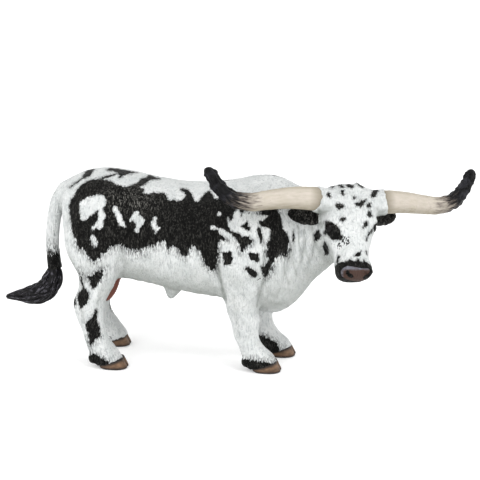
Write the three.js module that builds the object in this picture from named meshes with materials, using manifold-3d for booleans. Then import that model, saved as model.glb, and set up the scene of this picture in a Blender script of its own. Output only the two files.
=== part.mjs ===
// A moulded and painted toy figure of a longhorn bull, standing square with its head turned to its right.
// Millimetres, +Z up, +X towards the chest, +Y to the animal's left, standing on Z = 0.
// Each part of the body is a tube of cross-sections set along a line, joined where the flesh is one mass
// and parted by thin cuts where a person would name the next part.
import * as THREE from "three";
import Module from "manifold-3d";

const wasm = await Module();
wasm.setup();

// Driving sizes
const GAP = 0.3; // space between one named part and the next
const HALF_GAP = GAP / 2;
const SOLE = 1.5; // the floor's height in the tables below
const MIDDLE_SHIFT = [-4.92, 0.72, -SOLE]; // brings the middle of the whole figure over the origin

// Head pose, in degrees: turned to the animal's right, nose tipped forward, right horn raised
const HEAD_AT = [62.2, -14, 89.5];
const HEAD_TURN = -64;
const HEAD_TIP = -26;
const HEAD_ROLL = -5.4;

// Faces round each tube
const TORSO_SIDES = 26;
const NECK_SIDES = 20;
const HEAD_SIDES = 20;
const LEG_SIDES = 14;
const HORN_SIDES = 12;
const TAIL_SIDES = 10;

const colours = {
  coat: "#e9ebe8",
  black: "#1c1a19",
  horn: "#dcd4c4",
  hoof: "#5a3a2b",
  scrotum: "#8a5247",
};

// Catmull-Rom value between rows of numbers, with t running from 0 to rows.length - 1
function between(rows, t) {
  const i = Math.min(Math.floor(t), rows.length - 2);
  const f = t - i;
  const row = (k) => rows[Math.max(0, Math.min(rows.length - 1, k))];
  return rows[i].map((p1, c) => {
    const p0 = row(i - 1)[c];
    const p2 = row(i + 1)[c];
    const p3 = row(i + 2)[c];
    const bend = 2 * p0 - 5 * p1 + 4 * p2 - p3;
    const twist = 3 * p1 - p0 - 3 * p2 + p3;
    return p1 + 0.5 * f * (p2 - p0 + f * (bend + f * twist));
  });
}

// A closed solid from points and triangles, turned to face outwards
function solidOf(points, triangles) {
  let volume = 0;
  for (const [a, b, c] of triangles) {
    volume += points[a].dot(new THREE.Vector3().crossVectors(points[b], points[c]));
  }
  const outward = volume > 0 ? triangles : triangles.map(([a, b, c]) => [a, c, b]);
  return new wasm.Manifold(
    new wasm.Mesh({
      numProp: 3,
      vertProperties: new Float32Array(points.flatMap((p) => p.toArray())),
      triVerts: new Uint32Array(outward.flat()),
    }),
  );
}

// A three.js geometry as a solid: its shared corners are matched by their place
function solidFromGeometry(geometry) {
  const position = geometry.getAttribute("position");
  const order = geometry.index ? Array.from(geometry.index.array) : [...Array(position.count).keys()];
  const known = new Map();
  const points = [];
  const corner = (i) => {
    const p = new THREE.Vector3().fromBufferAttribute(position, i);
    const key = p.toArray().map((v) => v.toFixed(4)).join(" ");
    if (!known.has(key)) known.set(key, points.push(p) - 1);
    return known.get(key);
  };
  const triangles = [];
  for (let i = 0; i < order.length; i += 3) {
    const t = [corner(order[i]), corner(order[i + 1]), corner(order[i + 2])];
    if (new Set(t).size === 3) triangles.push(t);
  }
  return solidOf(points, triangles);
}

// Superellipse point of a section: half is the width across, rise and fall the reach above and below,
// taper widens the upper side, and squareness 2 is an ellipse
function sectionPoint(section, angle, grow) {
  const { at, across, up, half, rise, fall, taper = 0, squareness = 2 } = section;
  const c = Math.cos(angle);
  const s = Math.sin(angle);
  const power = 2 / squareness;
  const sideways = Math.sign(c) * Math.abs(c) ** power * (half + grow) * (1 + taper * s);
  const upwards = Math.sign(s) * Math.abs(s) ** power * ((s > 0 ? rise : fall) + grow);
  return at.clone().addScaledVector(across, sideways).addScaledVector(up, upwards);
}

// A tube of flesh: one ring per section, closed by a fan at each end
function tube(sections, sides, grow = 0) {
  const points = [];
  for (const section of sections) {
    for (let k = 0; k < sides; k += 1) {
      points.push(sectionPoint(section, ((k + 0.5) / sides) * 2 * Math.PI, grow));
    }
  }
  const last = (sections.length - 1) * sides;
  const startCap = points.push(sections[0].at.clone()) - 1;
  const endCap = points.push(sections[sections.length - 1].at.clone()) - 1;
  const triangles = [];
  for (let k = 0; k < sides; k += 1) {
    const next = (k + 1) % sides;
    triangles.push([startCap, next, k], [endCap, last + k, last + next]);
    for (let ring = 0; ring < sections.length - 1; ring += 1) {
      const a = ring * sides + k;
      const b = ring * sides + next;
      triangles.push([a, b, b + sides], [a, b + sides, a + sides]);
    }
  }
  return solidOf(points, triangles);
}

// Sections along a line of rows [x, y, z, half, rise, fall, ...], square to the line, with the widths
// measured along a sideways direction that stays as close to level as the line lets it
function alongLine(rows, steps, upHint = new THREE.Vector3(0, 0, 1), more = () => ({})) {
  const sections = [];
  for (let i = 0; i <= steps; i += 1) {
    const t = (i / steps) * (rows.length - 1);
    const row = between(rows, t);
    const ahead = between(rows, Math.min(t + 0.02, rows.length - 1));
    const behind = between(rows, Math.max(t - 0.02, 0));
    const along = new THREE.Vector3(...[0, 1, 2].map((c) => ahead[c] - behind[c])).normalize();
    const across = new THREE.Vector3().crossVectors(upHint, along).normalize();
    const up = new THREE.Vector3().crossVectors(along, across);
    const [x, y, z, half, rise, fall] = row;
    sections.push({ at: new THREE.Vector3(x, y, z), across, up, half, rise, fall, ...more(row) });
  }
  return sections;
}

// Keeps the side of a plane that the normal points to
function keepSide(solid, point, normal, offset = 0) {
  const n = normal.clone().normalize();
  return solid.trimByPlane(n.toArray(), n.dot(point) + offset);
}

function joined(solids) {
  return solids.reduce((sum, solid) => sum.add(solid));
}

// The largest closed body of a solid, without loose scraps
function largest(solid) {
  return solid.decompose().sort((a, b) => b.volume() - a.volume())[0];
}

function egg(centre, radii, turn = new THREE.Euler()) {
  const geometry = new THREE.SphereGeometry(1, 14, 9);
  const place = new THREE.Matrix4().compose(
    new THREE.Vector3(...centre),
    new THREE.Quaternion().setFromEuler(turn),
    new THREE.Vector3(...radii),
  );
  return solidFromGeometry(geometry.applyMatrix4(place));
}

function meshOf(name, solid, colour, roughness = 0.55) {
  const { vertProperties, triVerts } = largest(solid).getMesh();
  const geometry = new THREE.BufferGeometry();
  geometry.setAttribute("position", new THREE.BufferAttribute(new Float32Array(vertProperties), 3));
  geometry.setIndex(new THREE.BufferAttribute(new Uint32Array(triVerts), 1));
  const material = new THREE.MeshStandardMaterial({ color: colour, roughness, metalness: 0 });
  const mesh = new THREE.Mesh(geometry, material);
  mesh.name = name;
  return mesh;
}

// Seeded random numbers from 0 to 1
function drawer(seed) {
  let state = seed;
  return () => {
    state = (state * 1664525 + 1013904223) % 4294967296;
    return state / 4294967296;
  };
}

// Torso: rump, barrel, hump and chest as upright sections
// [x, top, bottom, half width, taper, squareness]
const TORSO_ROWS = [
  [-74.0, 78, 67, 4.5, 0, 2],
  [-72.8, 84, 57, 10.5, 0, 2.1],
  [-69, 88.4, 49, 14.5, 0, 2.2],
  [-62, 91.2, 44, 17.5, 0.05, 2.35],
  [-53, 92.2, 41.5, 19.2, 0.06, 2.4],
  [-43, 91.4, 40.5, 19.8, 0.02, 2.3],
  [-32, 89.2, 38.8, 20.6, -0.04, 2.25],
  [-20, 87.6, 36.6, 21.4, -0.08, 2.25],
  [-8, 87.4, 35, 21.8, -0.08, 2.25],
  [4, 88.8, 33.4, 21.4, -0.06, 2.25],
  [14, 91.2, 30.6, 20.4, -0.04, 2.2],
  [22, 92.2, 28.2, 19.2, 0, 2.1],
  [30, 90.4, 29, 17, 0.05, 2],
  [37, 86.5, 35, 13.5, 0.05, 2],
  [42, 80, 45, 9, 0, 2],
  [44.5, 70, 56, 4, 0, 2],
];
const TORSO_STEPS = 22;

function torsoSections() {
  const sections = [];
  for (let i = 0; i <= TORSO_STEPS; i += 1) {
    const [x, top, bottom, half, taper, squareness] = between(
      TORSO_ROWS,
      (i / TORSO_STEPS) * (TORSO_ROWS.length - 1),
    );
    const reach = (top - bottom) / 2;
    sections.push({
      at: new THREE.Vector3(x, 0, bottom + reach),
      across: new THREE.Vector3(0, 1, 0),
      up: new THREE.Vector3(0, 0, 1),
      half,
      rise: reach,
      fall: reach,
      taper,
      squareness,
    });
  }
  return sections;
}

// Neck: from inside the chest to inside the back of the skull, [x, y, z, half, rise, fall]
const NECK_ROWS = [
  [22, 0, 61, 15, 26, 25],
  [32, 0, 65, 15, 23.5, 24.5],
  [41, -0.8, 69, 12.8, 19.5, 21.5],
  [48, -3, 72.5, 10.8, 16, 18],
  [54, -6.5, 75.5, 9.6, 13.5, 14.5],
  [58.5, -10.5, 78, 8, 10.5, 10],
];
const NECK_STEPS = 9;

// Dewlap: a keel of loose skin from the throat to the brisket, [x, y, z, half, rise, fall]
const DEWLAP_ROWS = [
  [54, -6.5, 61, 2.2, 5, 3],
  [48.5, -4, 55.5, 3, 7, 4],
  [42.5, -2, 49, 3.8, 9, 4],
  [37, -0.6, 42, 4.8, 10, 4.5],
  [31, 0, 35.5, 6, 10, 5],
  [23, 0, 31.5, 7, 9, 5],
  [14, 0, 32, 6, 5, 2.5],
];
const DEWLAP_STEPS = 11;

const NECK_CUT = { at: new THREE.Vector3(33, 0, 62), normal: new THREE.Vector3(0.93, -0.1, 0.34) };

const SHEATH_ROWS = [
  [-24.5, 0, 30.6, 0.7, 0.7, 0.7],
  [-24.4, 0, 31.4, 1.4, 1.8, 1.8],
  [-24, 0, 33.6, 2.4, 3.4, 3.4],
  [-23.4, 0, 36.2, 3.4, 5, 5],
  [-23, 0, 40, 3, 5, 5],
];

// Legs: [x, y, z, half along the body, half across the body] of the near (right) leg, hip to fetlock
const HIND_ROWS = [
  [-55.5, -10.5, 78, 11, 7],
  [-57, -12, 68, 14, 8.6],
  [-57.2, -13.4, 58, 14, 8.8],
  [-56, -14.4, 50, 11.8, 7.8],
  [-55, -15.2, 43.5, 9.4, 6.4],
  [-56.8, -15.8, 38.4, 8.2, 5.3],
  [-59.2, -16.2, 33.6, 7.8, 4.8],
  [-59.4, -16.5, 27, 6.7, 4.3],
  [-57.8, -16.7, 20, 5.5, 4.2],
  [-55.6, -16.8, 14, 6, 4.6],
  [-52.9, -16.8, 9, 7, 5.4],
  [-51, -16.8, 5, 7, 5.8],
  [-49.6, -16.8, 2.4, 6.6, 5.8],
];
const FORE_ROWS = [
  [17, -9.5, 82, 8, 6],
  [16, -11.5, 72, 12, 8.4],
  [14.5, -12.6, 60, 13, 8.8],
  [12.6, -13, 50, 11.5, 8.2],
  [11.6, -12.8, 42, 9.8, 7.2],
  [11.6, -12.4, 35.6, 8.3, 6.4],
  [11.8, -12, 30, 7.2, 5.8],
  [12.7, -11.6, 25, 6.6, 5.4],
  [13.2, -11.3, 18.3, 5.7, 4.9],
  [15.6, -11, 13, 6, 5.1],
  [18.6, -10.9, 8.7, 7.4, 5.7],
  [20.2, -10.8, 5, 7.2, 5.9],
  [21, -10.8, 2.4, 6.8, 5.9],
];
const LEG_STEPS = 16;

// The four legs: side is -1 for the animal's right; the foot stands forward and outward of the near leg's
// rows by the offsets, fading to nothing at the top of the leg, and bend is how much more its hock is bent
const LEGS = [
  { name: "hind_right", rows: HIND_ROWS, side: -1, forward: 0, outward: 0, cutHeight: 42.5, hoofX: -48.6 },
  { name: "hind_left", rows: HIND_ROWS, side: 1, forward: -4.6, outward: -1.5, cutHeight: 42.5, hoofX: -49.7,
    bend: 1 },
  { name: "fore_right", rows: FORE_ROWS, side: -1, forward: 0, outward: 0, cutHeight: 34, hoofX: 22.5 },
  { name: "fore_left", rows: FORE_ROWS, side: 1, forward: 4.5, outward: 1.5, cutHeight: 34, hoofX: 21.7 },
];

// A bent hock: the thigh swells forward by the first size and the cannon stands back by the second,
// each as a bell over the height at its middle, as wide as its reach
const BENT_HOCK = { thigh: 2.8, thighAt: 39, thighReach: 7.5, cannon: -1.6, cannonAt: 21, cannonReach: 7 };

function hockBend(z) {
  const { thigh, thighAt, thighReach, cannon, cannonAt, cannonReach } = BENT_HOCK;
  const bell = (at, reach) => Math.exp(-(((z - at) / reach) ** 2));
  return thigh * bell(thighAt, thighReach) + cannon * bell(cannonAt, cannonReach);
}

function legRows({ rows, side, forward, outward, bend = 0 }) {
  const top = rows[0][2];
  return rows.map(([x, y, z, long, wide]) => {
    const share = (1 - z / top) ** 1.2;
    const along = x + forward * share + bend * hockBend(z);
    return [along, side * (-y + outward * share), z, wide, long, long];
  });
}

function legTube(leg, grow) {
  const forwards = new THREE.Vector3(1, 0, 0);
  const rows = legRows(leg);
  const sections = alongLine(rows, LEG_STEPS, forwards, () => ({ squareness: 2.15 }));
  for (const section of sections) {
    section.across = new THREE.Vector3(0, 1, 0);
    section.up = forwards;
  }
  return tube(sections, LEG_SIDES, grow);
}

// Hoof: a block under the sloping top line of the horn, with a cleft between its two claws
const HOOF_TOP_MIDDLE = 5.3;
const HOOF_TOP_SLOPE = new THREE.Vector3(-0.3, 0, 1);
// [height above the sole, heel, toe, half width]
const HOOF_ROWS = [
  [0, -6.1, 6.7, 5.4],
  [0.6, -6.4, 7.1, 5.7],
  [3, -6.6, 6, 5.5],
  [6, -6.8, 4.5, 5.2],
  [9, -6.8, 3, 4.9],
];

function hoofSolid(x, y) {
  const sections = HOOF_ROWS.map(([height, heel, toe, half]) => ({
    at: new THREE.Vector3(x, y, SOLE + height),
    across: new THREE.Vector3(0, 1, 0),
    up: new THREE.Vector3(1, 0, 0),
    half,
    rise: toe,
    fall: -heel,
    taper: -0.1,
    squareness: 2.5,
  }));
  const block = tube(sections, 16);
  const cleft = new THREE.Shape();
  cleft.moveTo(0.5, 0);
  cleft.lineTo(12, 0.95);
  cleft.lineTo(12, -0.95);
  cleft.closePath();
  const wedge = new THREE.ExtrudeGeometry(cleft, { depth: 20, bevelEnabled: false });
  wedge.translate(x, y, -5);
  return block.subtract(solidFromGeometry(wedge));
}

// Two dewclaws, each under a lock of hair, hang at the back of the fetlock
function dewclaws(x, y) {
  const clawAt = [-8.3, 2.7, 6.8];
  return [-1, 1].map((side) =>
    egg([x + clawAt[0], y + side * clawAt[1], clawAt[2]], [2.8, 2.2, 3.4], new THREE.Euler(0, 0.4, 0)),
  );
}

// Tail: [x, y, z, half, rise, fall] from the rump to the start of the switch, then the switch's own core
const TAIL_ROWS = [
  [-66, 0, 85.2, 4.2, 3.6, 3.6],
  [-71.5, 0, 83.2, 4, 3.6, 3.6],
  [-76, 0, 78.2, 3.6, 3.5, 3.5],
  [-78.7, 0, 71.5, 3.4, 3.4, 3.4],
  [-80, 0, 64, 3.2, 3.2, 3.2],
  [-80.6, 0, 56, 3.1, 3.2, 3.2],
  [-80.3, 0, 49, 3.2, 3.4, 3.4],
  [-79.8, 0, 43, 3.4, 3.7, 3.7],
];
const TAIL_STEPS = 14;
const SWITCH_ROWS = [
  [-79.8, 0, 43.4, 3, 3.3, 3.3],
  [-80.6, 0, 38.6, 3.6, 4.2, 4.2],
  [-83.2, 0.2, 33.6, 4.2, 4.8, 4.8],
  [-87.6, 0.5, 30.2, 4.3, 4.7, 4.7],
  [-92.6, 0.9, 28.8, 3.7, 3.9, 3.9],
  [-98.5, 1.3, 28, 2.4, 2.3, 2.3],
  [-104.4, 1.6, 27.2, 0.9, 0.9, 0.9],
];
const SWITCH_STEPS = 10;
const LOCK_ROUND = 6; // locks round the switch in each tier
const LOCK_TIERS = [
  { start: 0.3, length: 2.3, radius: 1.5 },
  { start: 1.5, length: 2.4, radius: 1.45 },
  { start: 2.7, length: 2.5, radius: 1.25 },
];

// One moulded lock: a flattened, tapered strand that follows the switch a little off its core
function lock(angle, start, length, radius, wave) {
  const side = new THREE.Vector3(0, 1, 0);
  const rows = [];
  const count = 5;
  for (let i = 0; i < count; i += 1) {
    const f = i / (count - 1);
    const t = Math.min(start + f * length, SWITCH_ROWS.length - 1);
    const [x, y, z, half, rise] = between(SWITCH_ROWS, t);
    const behind = between(SWITCH_ROWS, Math.max(t - 0.05, 0));
    const ahead = between(SWITCH_ROWS, Math.min(t + 0.05, SWITCH_ROWS.length - 1));
    const along = new THREE.Vector3(ahead[0] - behind[0], 0, ahead[2] - behind[2]).normalize();
    const up = new THREE.Vector3().crossVectors(side, along);
    const turn = angle + wave * Math.sin(f * Math.PI * 1.3);
    const out = 0.62 + 0.3 * Math.sin(f * Math.PI * 0.8);
    const at = new THREE.Vector3(x, y, z)
      .addScaledVector(side, Math.cos(turn) * half * out)
      .addScaledVector(up, Math.sin(turn) * rise * out);
    const thick = radius * (0.35 + 0.65 * Math.sin(Math.PI * (0.18 + 0.78 * f)));
    rows.push([at.x, at.y, at.z, thick, thick, thick]);
  }
  return tube(alongLine(rows, count, side), 5);
}

// Head, in its own frame: +X out of the forehead, +Y to the animal's left, Z = 0 at the poll, nose downwards
// [z, face, jaw, half width, taper, squareness]: the head reaches from x = jaw to x = face
const HEAD_ROWS = [
  [4.6, -6, -11, 5, 0, 2],
  [3.6, -3.4, -14, 8.8, 0, 2.1],
  [1, -1, -16.5, 11.6, 0.02, 2.3],
  [-4, 0.4, -18.4, 12.4, 0.04, 2.5],
  [-9.5, 0.6, -20.6, 12.2, 0.06, 2.6],
  [-14.5, 0.4, -22, 11.6, 0.1, 2.6],
  [-19.5, -0.2, -22, 10.4, 0.1, 2.5],
  [-24.5, -0.8, -19.2, 8.9, 0.12, 2.4],
  [-29, -1, -16.4, 8, 0.16, 2.35],
  [-33, -0.8, -14.6, 8.2, 0.18, 2.4],
  [-36, -1.2, -13.6, 8.2, 0.16, 2.4],
  [-38.2, -2.8, -12.4, 6.8, 0.12, 2.3],
  [-39.4, -5, -10.8, 4, 0, 2.1],
];
const HEAD_STEPS = 20;
const HEAD_CUT = { at: new THREE.Vector3(-15.5, 0, -9), normal: new THREE.Vector3(0.93, 0, 0.36) };

function headSections() {
  const sections = [];
  for (let i = 0; i <= HEAD_STEPS; i += 1) {
    const [z, face, jaw, half, taper, squareness] = between(
      HEAD_ROWS,
      (i / HEAD_STEPS) * (HEAD_ROWS.length - 1),
    );
    const reach = (face - jaw) / 2;
    sections.push({
      at: new THREE.Vector3(jaw + reach, 0, z),
      across: new THREE.Vector3(0, 1, 0),
      up: new THREE.Vector3(1, 0, 0),
      half,
      rise: reach,
      fall: reach,
      taper,
      squareness,
    });
  }
  return sections;
}

// Eyes sit in sockets under a low brow
const EYE_AT = [-5.8, 10.4, -15.2];
const EYE_RADII = [2.8, 1.6, 2.2];

function eyeSolid(side, grow = 0) {
  const radii = EYE_RADII.map((r) => r + grow);
  return egg([EYE_AT[0], side * EYE_AT[1], EYE_AT[2]], radii, new THREE.Euler(0, 0, side * -0.25));
}

// Horns: outwards, a little down and back, then up to the tip, [x, y, z, half, rise, fall] on the left
const HORN_ROWS = [
  [-6.6, 7, -4.4, 5.4, 5.4, 5.4],
  [-5.6, 13, -3.8, 5.3, 5.4, 5.4],
  [-5.4, 18, -3.3, 5.1, 5.3, 5.3],
  [-8, 27.1, -2.8, 4.7, 4.9, 4.9],
  [-10.6, 36.7, -3, 4.3, 4.4, 4.4],
  [-11.4, 45.7, -3.2, 4, 4, 4],
  [-11.6, 53.4, -0.8, 3.5, 3.5, 3.5],
  [-11.8, 58.8, 4.3, 3, 3, 3],
  [-12.1, 62.4, 10.2, 2.5, 2.5, 2.5],
  [-12.4, 63.9, 13.2, 1.9, 1.9, 1.9],
  [-12.5, 64.3, 14.2, 0.9, 0.9, 0.9],
];
const HORN_STEPS = 20;
// The skin reaches out along the horn as a collar and ends at this plane, on the left
const COLLAR_AT = new THREE.Vector3(-5.4, 16.4, -3.4);
const COLLAR_OUT = new THREE.Vector3(-0.16, 1, 0.05);
const COLLAR_EXTRA = 0.5; // how much the collar stands proud of the horn

function hornSolid(side, grow = 0) {
  const rows = HORN_ROWS.map(([x, y, z, ...sizes]) => {
    const rise = side < 0 ? rightHornRise(y) : 0;
    return [x, side * y, z + rise, ...sizes];
  });
  return tube(alongLine(rows, HORN_STEPS), HORN_SIDES, grow);
}

// The right horn is set a little higher at its base and bends up less at its tip than the left one
const RIGHT_HORN = { lift: 1.1, liftFrom: 4, liftTo: 48, drop: 1.9, dropFrom: 36, dropTo: 64.3 };

function rightHornRise(y) {
  const { lift, liftFrom, liftTo, drop, dropFrom, dropTo } = RIGHT_HORN;
  const share = (from, to) => THREE.MathUtils.clamp((y - from) / (to - from), 0, 1);
  return lift * Math.sin(Math.PI * share(liftFrom, liftTo)) - drop * share(dropFrom, dropTo) ** 2;
}

// Cuts a horn's tube at the collar: outward keeps the bare horn, otherwise the part inside the collar
function hornPart(side, outward, grow = 0) {
  const at = COLLAR_AT.clone().multiply(new THREE.Vector3(1, side, 1));
  const out = COLLAR_OUT.clone().multiply(new THREE.Vector3(1, side, 1));
  const solid = hornSolid(side, grow);
  return outward ? keepSide(solid, at, out, HALF_GAP) : keepSide(solid, at, out.negate(), HALF_GAP);
}

// Ears: a cupped leaf on a round stalk, held out and back under the horn
const EAR_ROWS = [
  [-9.4, 9.5, -9.6, 1.8, 2.2, 2.2],
  [-10.8, 12.5, -9.4, 1.6, 2.6, 2.8],
  [-12.5, 16.3, -8.9, 1.5, 3.5, 4.2],
  [-13.9, 20.3, -8.2, 1.4, 3.8, 4.1],
  [-15.2, 24, -7.4, 1.2, 3.1, 3.1],
  [-16.2, 26.3, -6.9, 0.6, 1.4, 1.4],
];
const EAR_STEPS = 9;

function earSolid(side, grow = 0) {
  const rows = EAR_ROWS.map(([x, y, z, ...sizes]) => [x, side * y, z, ...sizes]);
  return tube(alongLine(rows, EAR_STEPS), 12, grow);
}

// The cup of the ear: a narrow egg taken out of its front face
function earCup(side) {
  const turn = new THREE.Euler(0, 0, side * 0.35);
  return egg([-11.9, side * 19.2, -8.6], [1.2, 5, 2.6], turn);
}

// Nostrils: slanting slots in the end of the nose
function nostril(side) {
  return egg([-2.9, side * 4.2, -36.6], [1.6, 1.5, 0.9], new THREE.Euler(side * 0.7, 0.7, 0));
}

// The line of the mouth: a slanting plane's worth of the skin, taken out to a shallow depth round the muzzle
const MOUTH = { at: [-10.2, 0, -34.4], slant: -0.27, width: 0.6, length: 11, depth: 0.6 };

function mouthGroove() {
  const slab = new THREE.BoxGeometry(MOUTH.width, 30, MOUTH.length);
  slab.rotateY(MOUTH.slant);
  slab.translate(...MOUTH.at);
  const shell = tube(headSections(), HEAD_SIDES, 1).subtract(tube(headSections(), HEAD_SIDES, -MOUTH.depth));
  return shell.intersect(solidFromGeometry(slab));
}

// How far forward the skull's surface lies at a height and a distance from its middle
function faceAt(z, y) {
  const gap = (section) => Math.abs(section.at.z - z);
  const { at, half, rise, squareness } = headSections().reduce((a, b) => (gap(b) < gap(a) ? b : a));
  return at.x + rise * Math.max(0, 1 - Math.abs(y / half) ** squareness) ** (1 / squareness);
}

// Forelock and poll hair: short, rounded clumps in rows over the poll and down the forehead, half sunk in it
const CLUMP_RADII = [1.5, 1.7];
const CLUMP_SUNK = 0.9;
const HAIR_ROWS = [
  { z: 3.2, reach: 5.6, count: 5, length: 3.2 },
  { z: 0.8, reach: 8.6, count: 7, length: 4.2 },
  { z: -2.8, reach: 9, count: 8, length: 4.4 },
  { z: -6.6, reach: 7.6, count: 6, length: 4 },
];

function pollClumps() {
  const draw = drawer(7);
  const clumps = [];
  for (const { z, reach, count, length } of HAIR_ROWS) {
    for (let i = 0; i < count; i += 1) {
      const y = -reach + (2 * reach * i) / (count - 1);
      const lean = 0.25 * (y / reach) + 0.3 * (draw() - 0.5);
      const size = length * (0.85 + 0.3 * draw());
      const geometry = new THREE.SphereGeometry(1, 6, 4);
      const place = new THREE.Matrix4().compose(
        new THREE.Vector3(faceAt(z, y) - CLUMP_SUNK, y, z),
        new THREE.Quaternion().setFromEuler(new THREE.Euler(lean, -0.2, 0)),
        new THREE.Vector3(...CLUMP_RADII, size * 0.62),
      );
      clumps.push(solidFromGeometry(geometry.applyMatrix4(place)));
    }
  }
  return clumps;
}

const headPlace = new THREE.Matrix4()
  .makeTranslation(...HEAD_AT)
  .multiply(new THREE.Matrix4().makeRotationZ(THREE.MathUtils.degToRad(HEAD_TURN)))
  .multiply(new THREE.Matrix4().makeRotationX(THREE.MathUtils.degToRad(HEAD_ROLL)))
  .multiply(new THREE.Matrix4().makeRotationY(THREE.MathUtils.degToRad(HEAD_TIP)));

// Flesh of the neck and dewlap, shared by torso, neck and head before the cuts
const neckTube = tube(alongLine(NECK_ROWS, NECK_STEPS), NECK_SIDES);
const dewlapTube = tube(alongLine(DEWLAP_ROWS, DEWLAP_STEPS), 12);
const torsoTube = tube(torsoSections(), TORSO_SIDES);
const sheathTube = tube(alongLine(SHEATH_ROWS, 5, new THREE.Vector3(1, 0, 0)), 10);

// The neck's near end is parted from the torso, its far end from the head
const headCutPoint = HEAD_CUT.at.clone().applyMatrix4(headPlace);
const headCutNormal = HEAD_CUT.normal.clone().transformDirection(headPlace);
const upperLegs = LEGS.map((leg) => {
  const plane = new THREE.Vector3(0, 0, leg.cutHeight);
  return keepSide(legTube(leg, 0), plane, new THREE.Vector3(0, 0, 1), HALF_GAP);
});
const trunk = joined([torsoTube, neckTube, dewlapTube, sheathTube, ...upperLegs]);

const figure = new THREE.Group();
figure.position.set(...MIDDLE_SHIFT);

function addTorso() {
  let torso = keepSide(trunk, NECK_CUT.at, NECK_CUT.normal.clone().negate(), HALF_GAP);
  for (const leg of LEGS) {
    const plane = new THREE.Vector3(0, 0, leg.cutHeight);
    const below = keepSide(legTube(leg, GAP), plane, new THREE.Vector3(0, 0, -1), -HALF_GAP);
    torso = torso.subtract(below);
  }
  torso = torso.subtract(tailTube(GAP)).subtract(scrotumSolid(GAP));
  figure.add(meshOf("torso", torso, colours.coat));
}

// The neck is hollowed where the jaw sinks into it
function addNeck() {
  const ahead = keepSide(trunk, NECK_CUT.at, NECK_CUT.normal, HALF_GAP);
  const behind = keepSide(ahead, headCutPoint, headCutNormal.clone().negate(), HALF_GAP);
  const jawRoom = tube(headSections(), HEAD_SIDES, GAP).transform(headPlace.elements);
  figure.add(meshOf("neck", behind.subtract(jawRoom), colours.coat));
}

function addLegs() {
  for (const leg of LEGS) {
    const down = new THREE.Vector3(0, 0, -1);
    const plane = new THREE.Vector3(0, 0, leg.cutHeight);
    const foot = legRows(leg)[leg.rows.length - 1];
    const x = leg.hoofX + leg.forward;
    const y = foot[1];
    const coronet = new THREE.Vector3(x, y, HOOF_TOP_MIDDLE);
    const lower = keepSide(legTube(leg, 0), plane, down, HALF_GAP);
    const flesh = joined([lower, ...dewclaws(x, y)]);
    const limb = keepSide(flesh, coronet, HOOF_TOP_SLOPE, HALF_GAP);
    const hoof = keepSide(hoofSolid(x, y), coronet, HOOF_TOP_SLOPE.clone().negate(), HALF_GAP);
    figure.add(meshOf(`leg_${leg.name}`, limb, colours.coat));
    figure.add(meshOf(`hoof_${leg.name}`, hoof, colours.hoof, 0.45));
  }
}

const TAIL_CUT = { at: new THREE.Vector3(-79.8, 0, 43.4), normal: new THREE.Vector3(0.08, 0, 1) };

function tailTube(grow) {
  return tube(alongLine(TAIL_ROWS, TAIL_STEPS, new THREE.Vector3(0, 1, 0)), TAIL_SIDES, grow);
}

function addTail() {
  const dock = keepSide(tailTube(0), TAIL_CUT.at, TAIL_CUT.normal, HALF_GAP);
  figure.add(meshOf("tail", dock, colours.coat));
  const draw = drawer(21);
  const strands = [tube(alongLine(SWITCH_ROWS, SWITCH_STEPS, new THREE.Vector3(0, 1, 0)), TAIL_SIDES)];
  LOCK_TIERS.forEach(({ start, length, radius }, tier) => {
    for (let i = 0; i < LOCK_ROUND; i += 1) {
      const angle = ((i + 0.5 * (tier % 2)) / LOCK_ROUND) * 2 * Math.PI + 0.25 * (draw() - 0.5);
      const begin = start + 0.3 * (draw() - 0.5);
      strands.push(lock(angle, begin, length, radius * (0.9 + 0.2 * draw()), 0.5 * (draw() - 0.3)));
    }
  });
  const brush = keepSide(joined(strands), TAIL_CUT.at, TAIL_CUT.normal.clone().negate(), HALF_GAP);
  figure.add(meshOf("tail_switch", brush, colours.black));
}

function scrotumSolid(grow) {
  const turn = new THREE.Euler(0, 0.45, 0);
  return egg([-52.8, 0, 36], [3.8 + grow, 3.8 + grow, 9 + grow], turn);
}

function addHead() {
  const head = new THREE.Group();
  head.position.setFromMatrixPosition(headPlace);
  head.quaternion.setFromRotationMatrix(headPlace);
  const intoHead = headPlace.clone().invert();
  const neckInHead = joined([neckTube, dewlapTube]).transform(intoHead.elements);
  const nape = keepSide(neckInHead, HEAD_CUT.at, HEAD_CUT.normal, HALF_GAP);
  const brows = [-1, 1].map((side) => egg([-4.8, side * 9.2, -11.6], [3.4, 2.4, 3.2]));
  const collars = [-1, 1].map((side) => hornPart(side, false, COLLAR_EXTRA));
  const face = tube(headSections(), HEAD_SIDES);
  let skull = joined([face, nape, ...brows, ...collars, ...pollClumps()]);
  for (const side of [-1, 1]) {
    const name = side < 0 ? "right" : "left";
    skull = skull.subtract(earSolid(side, GAP));
    skull = skull.subtract(eyeSolid(side, GAP));
    skull = skull.subtract(nostril(side));
    head.add(meshOf(`horn_${name}`, hornPart(side, true), colours.horn, 0.4));
    head.add(meshOf(`ear_${name}`, earSolid(side).subtract(earCup(side)), colours.black));
    head.add(meshOf(`eye_${name}`, eyeSolid(side), colours.black, 0.15));
  }
  skull = skull.subtract(mouthGroove());
  head.add(meshOf("head", skull, colours.coat));
  figure.add(head);
}

addTorso();
addNeck();
addLegs();
addTail();
figure.add(meshOf("scrotum", scrotumSolid(0), colours.scrotum));
addHead();

export default figure;
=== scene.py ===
import functools
import math

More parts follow.
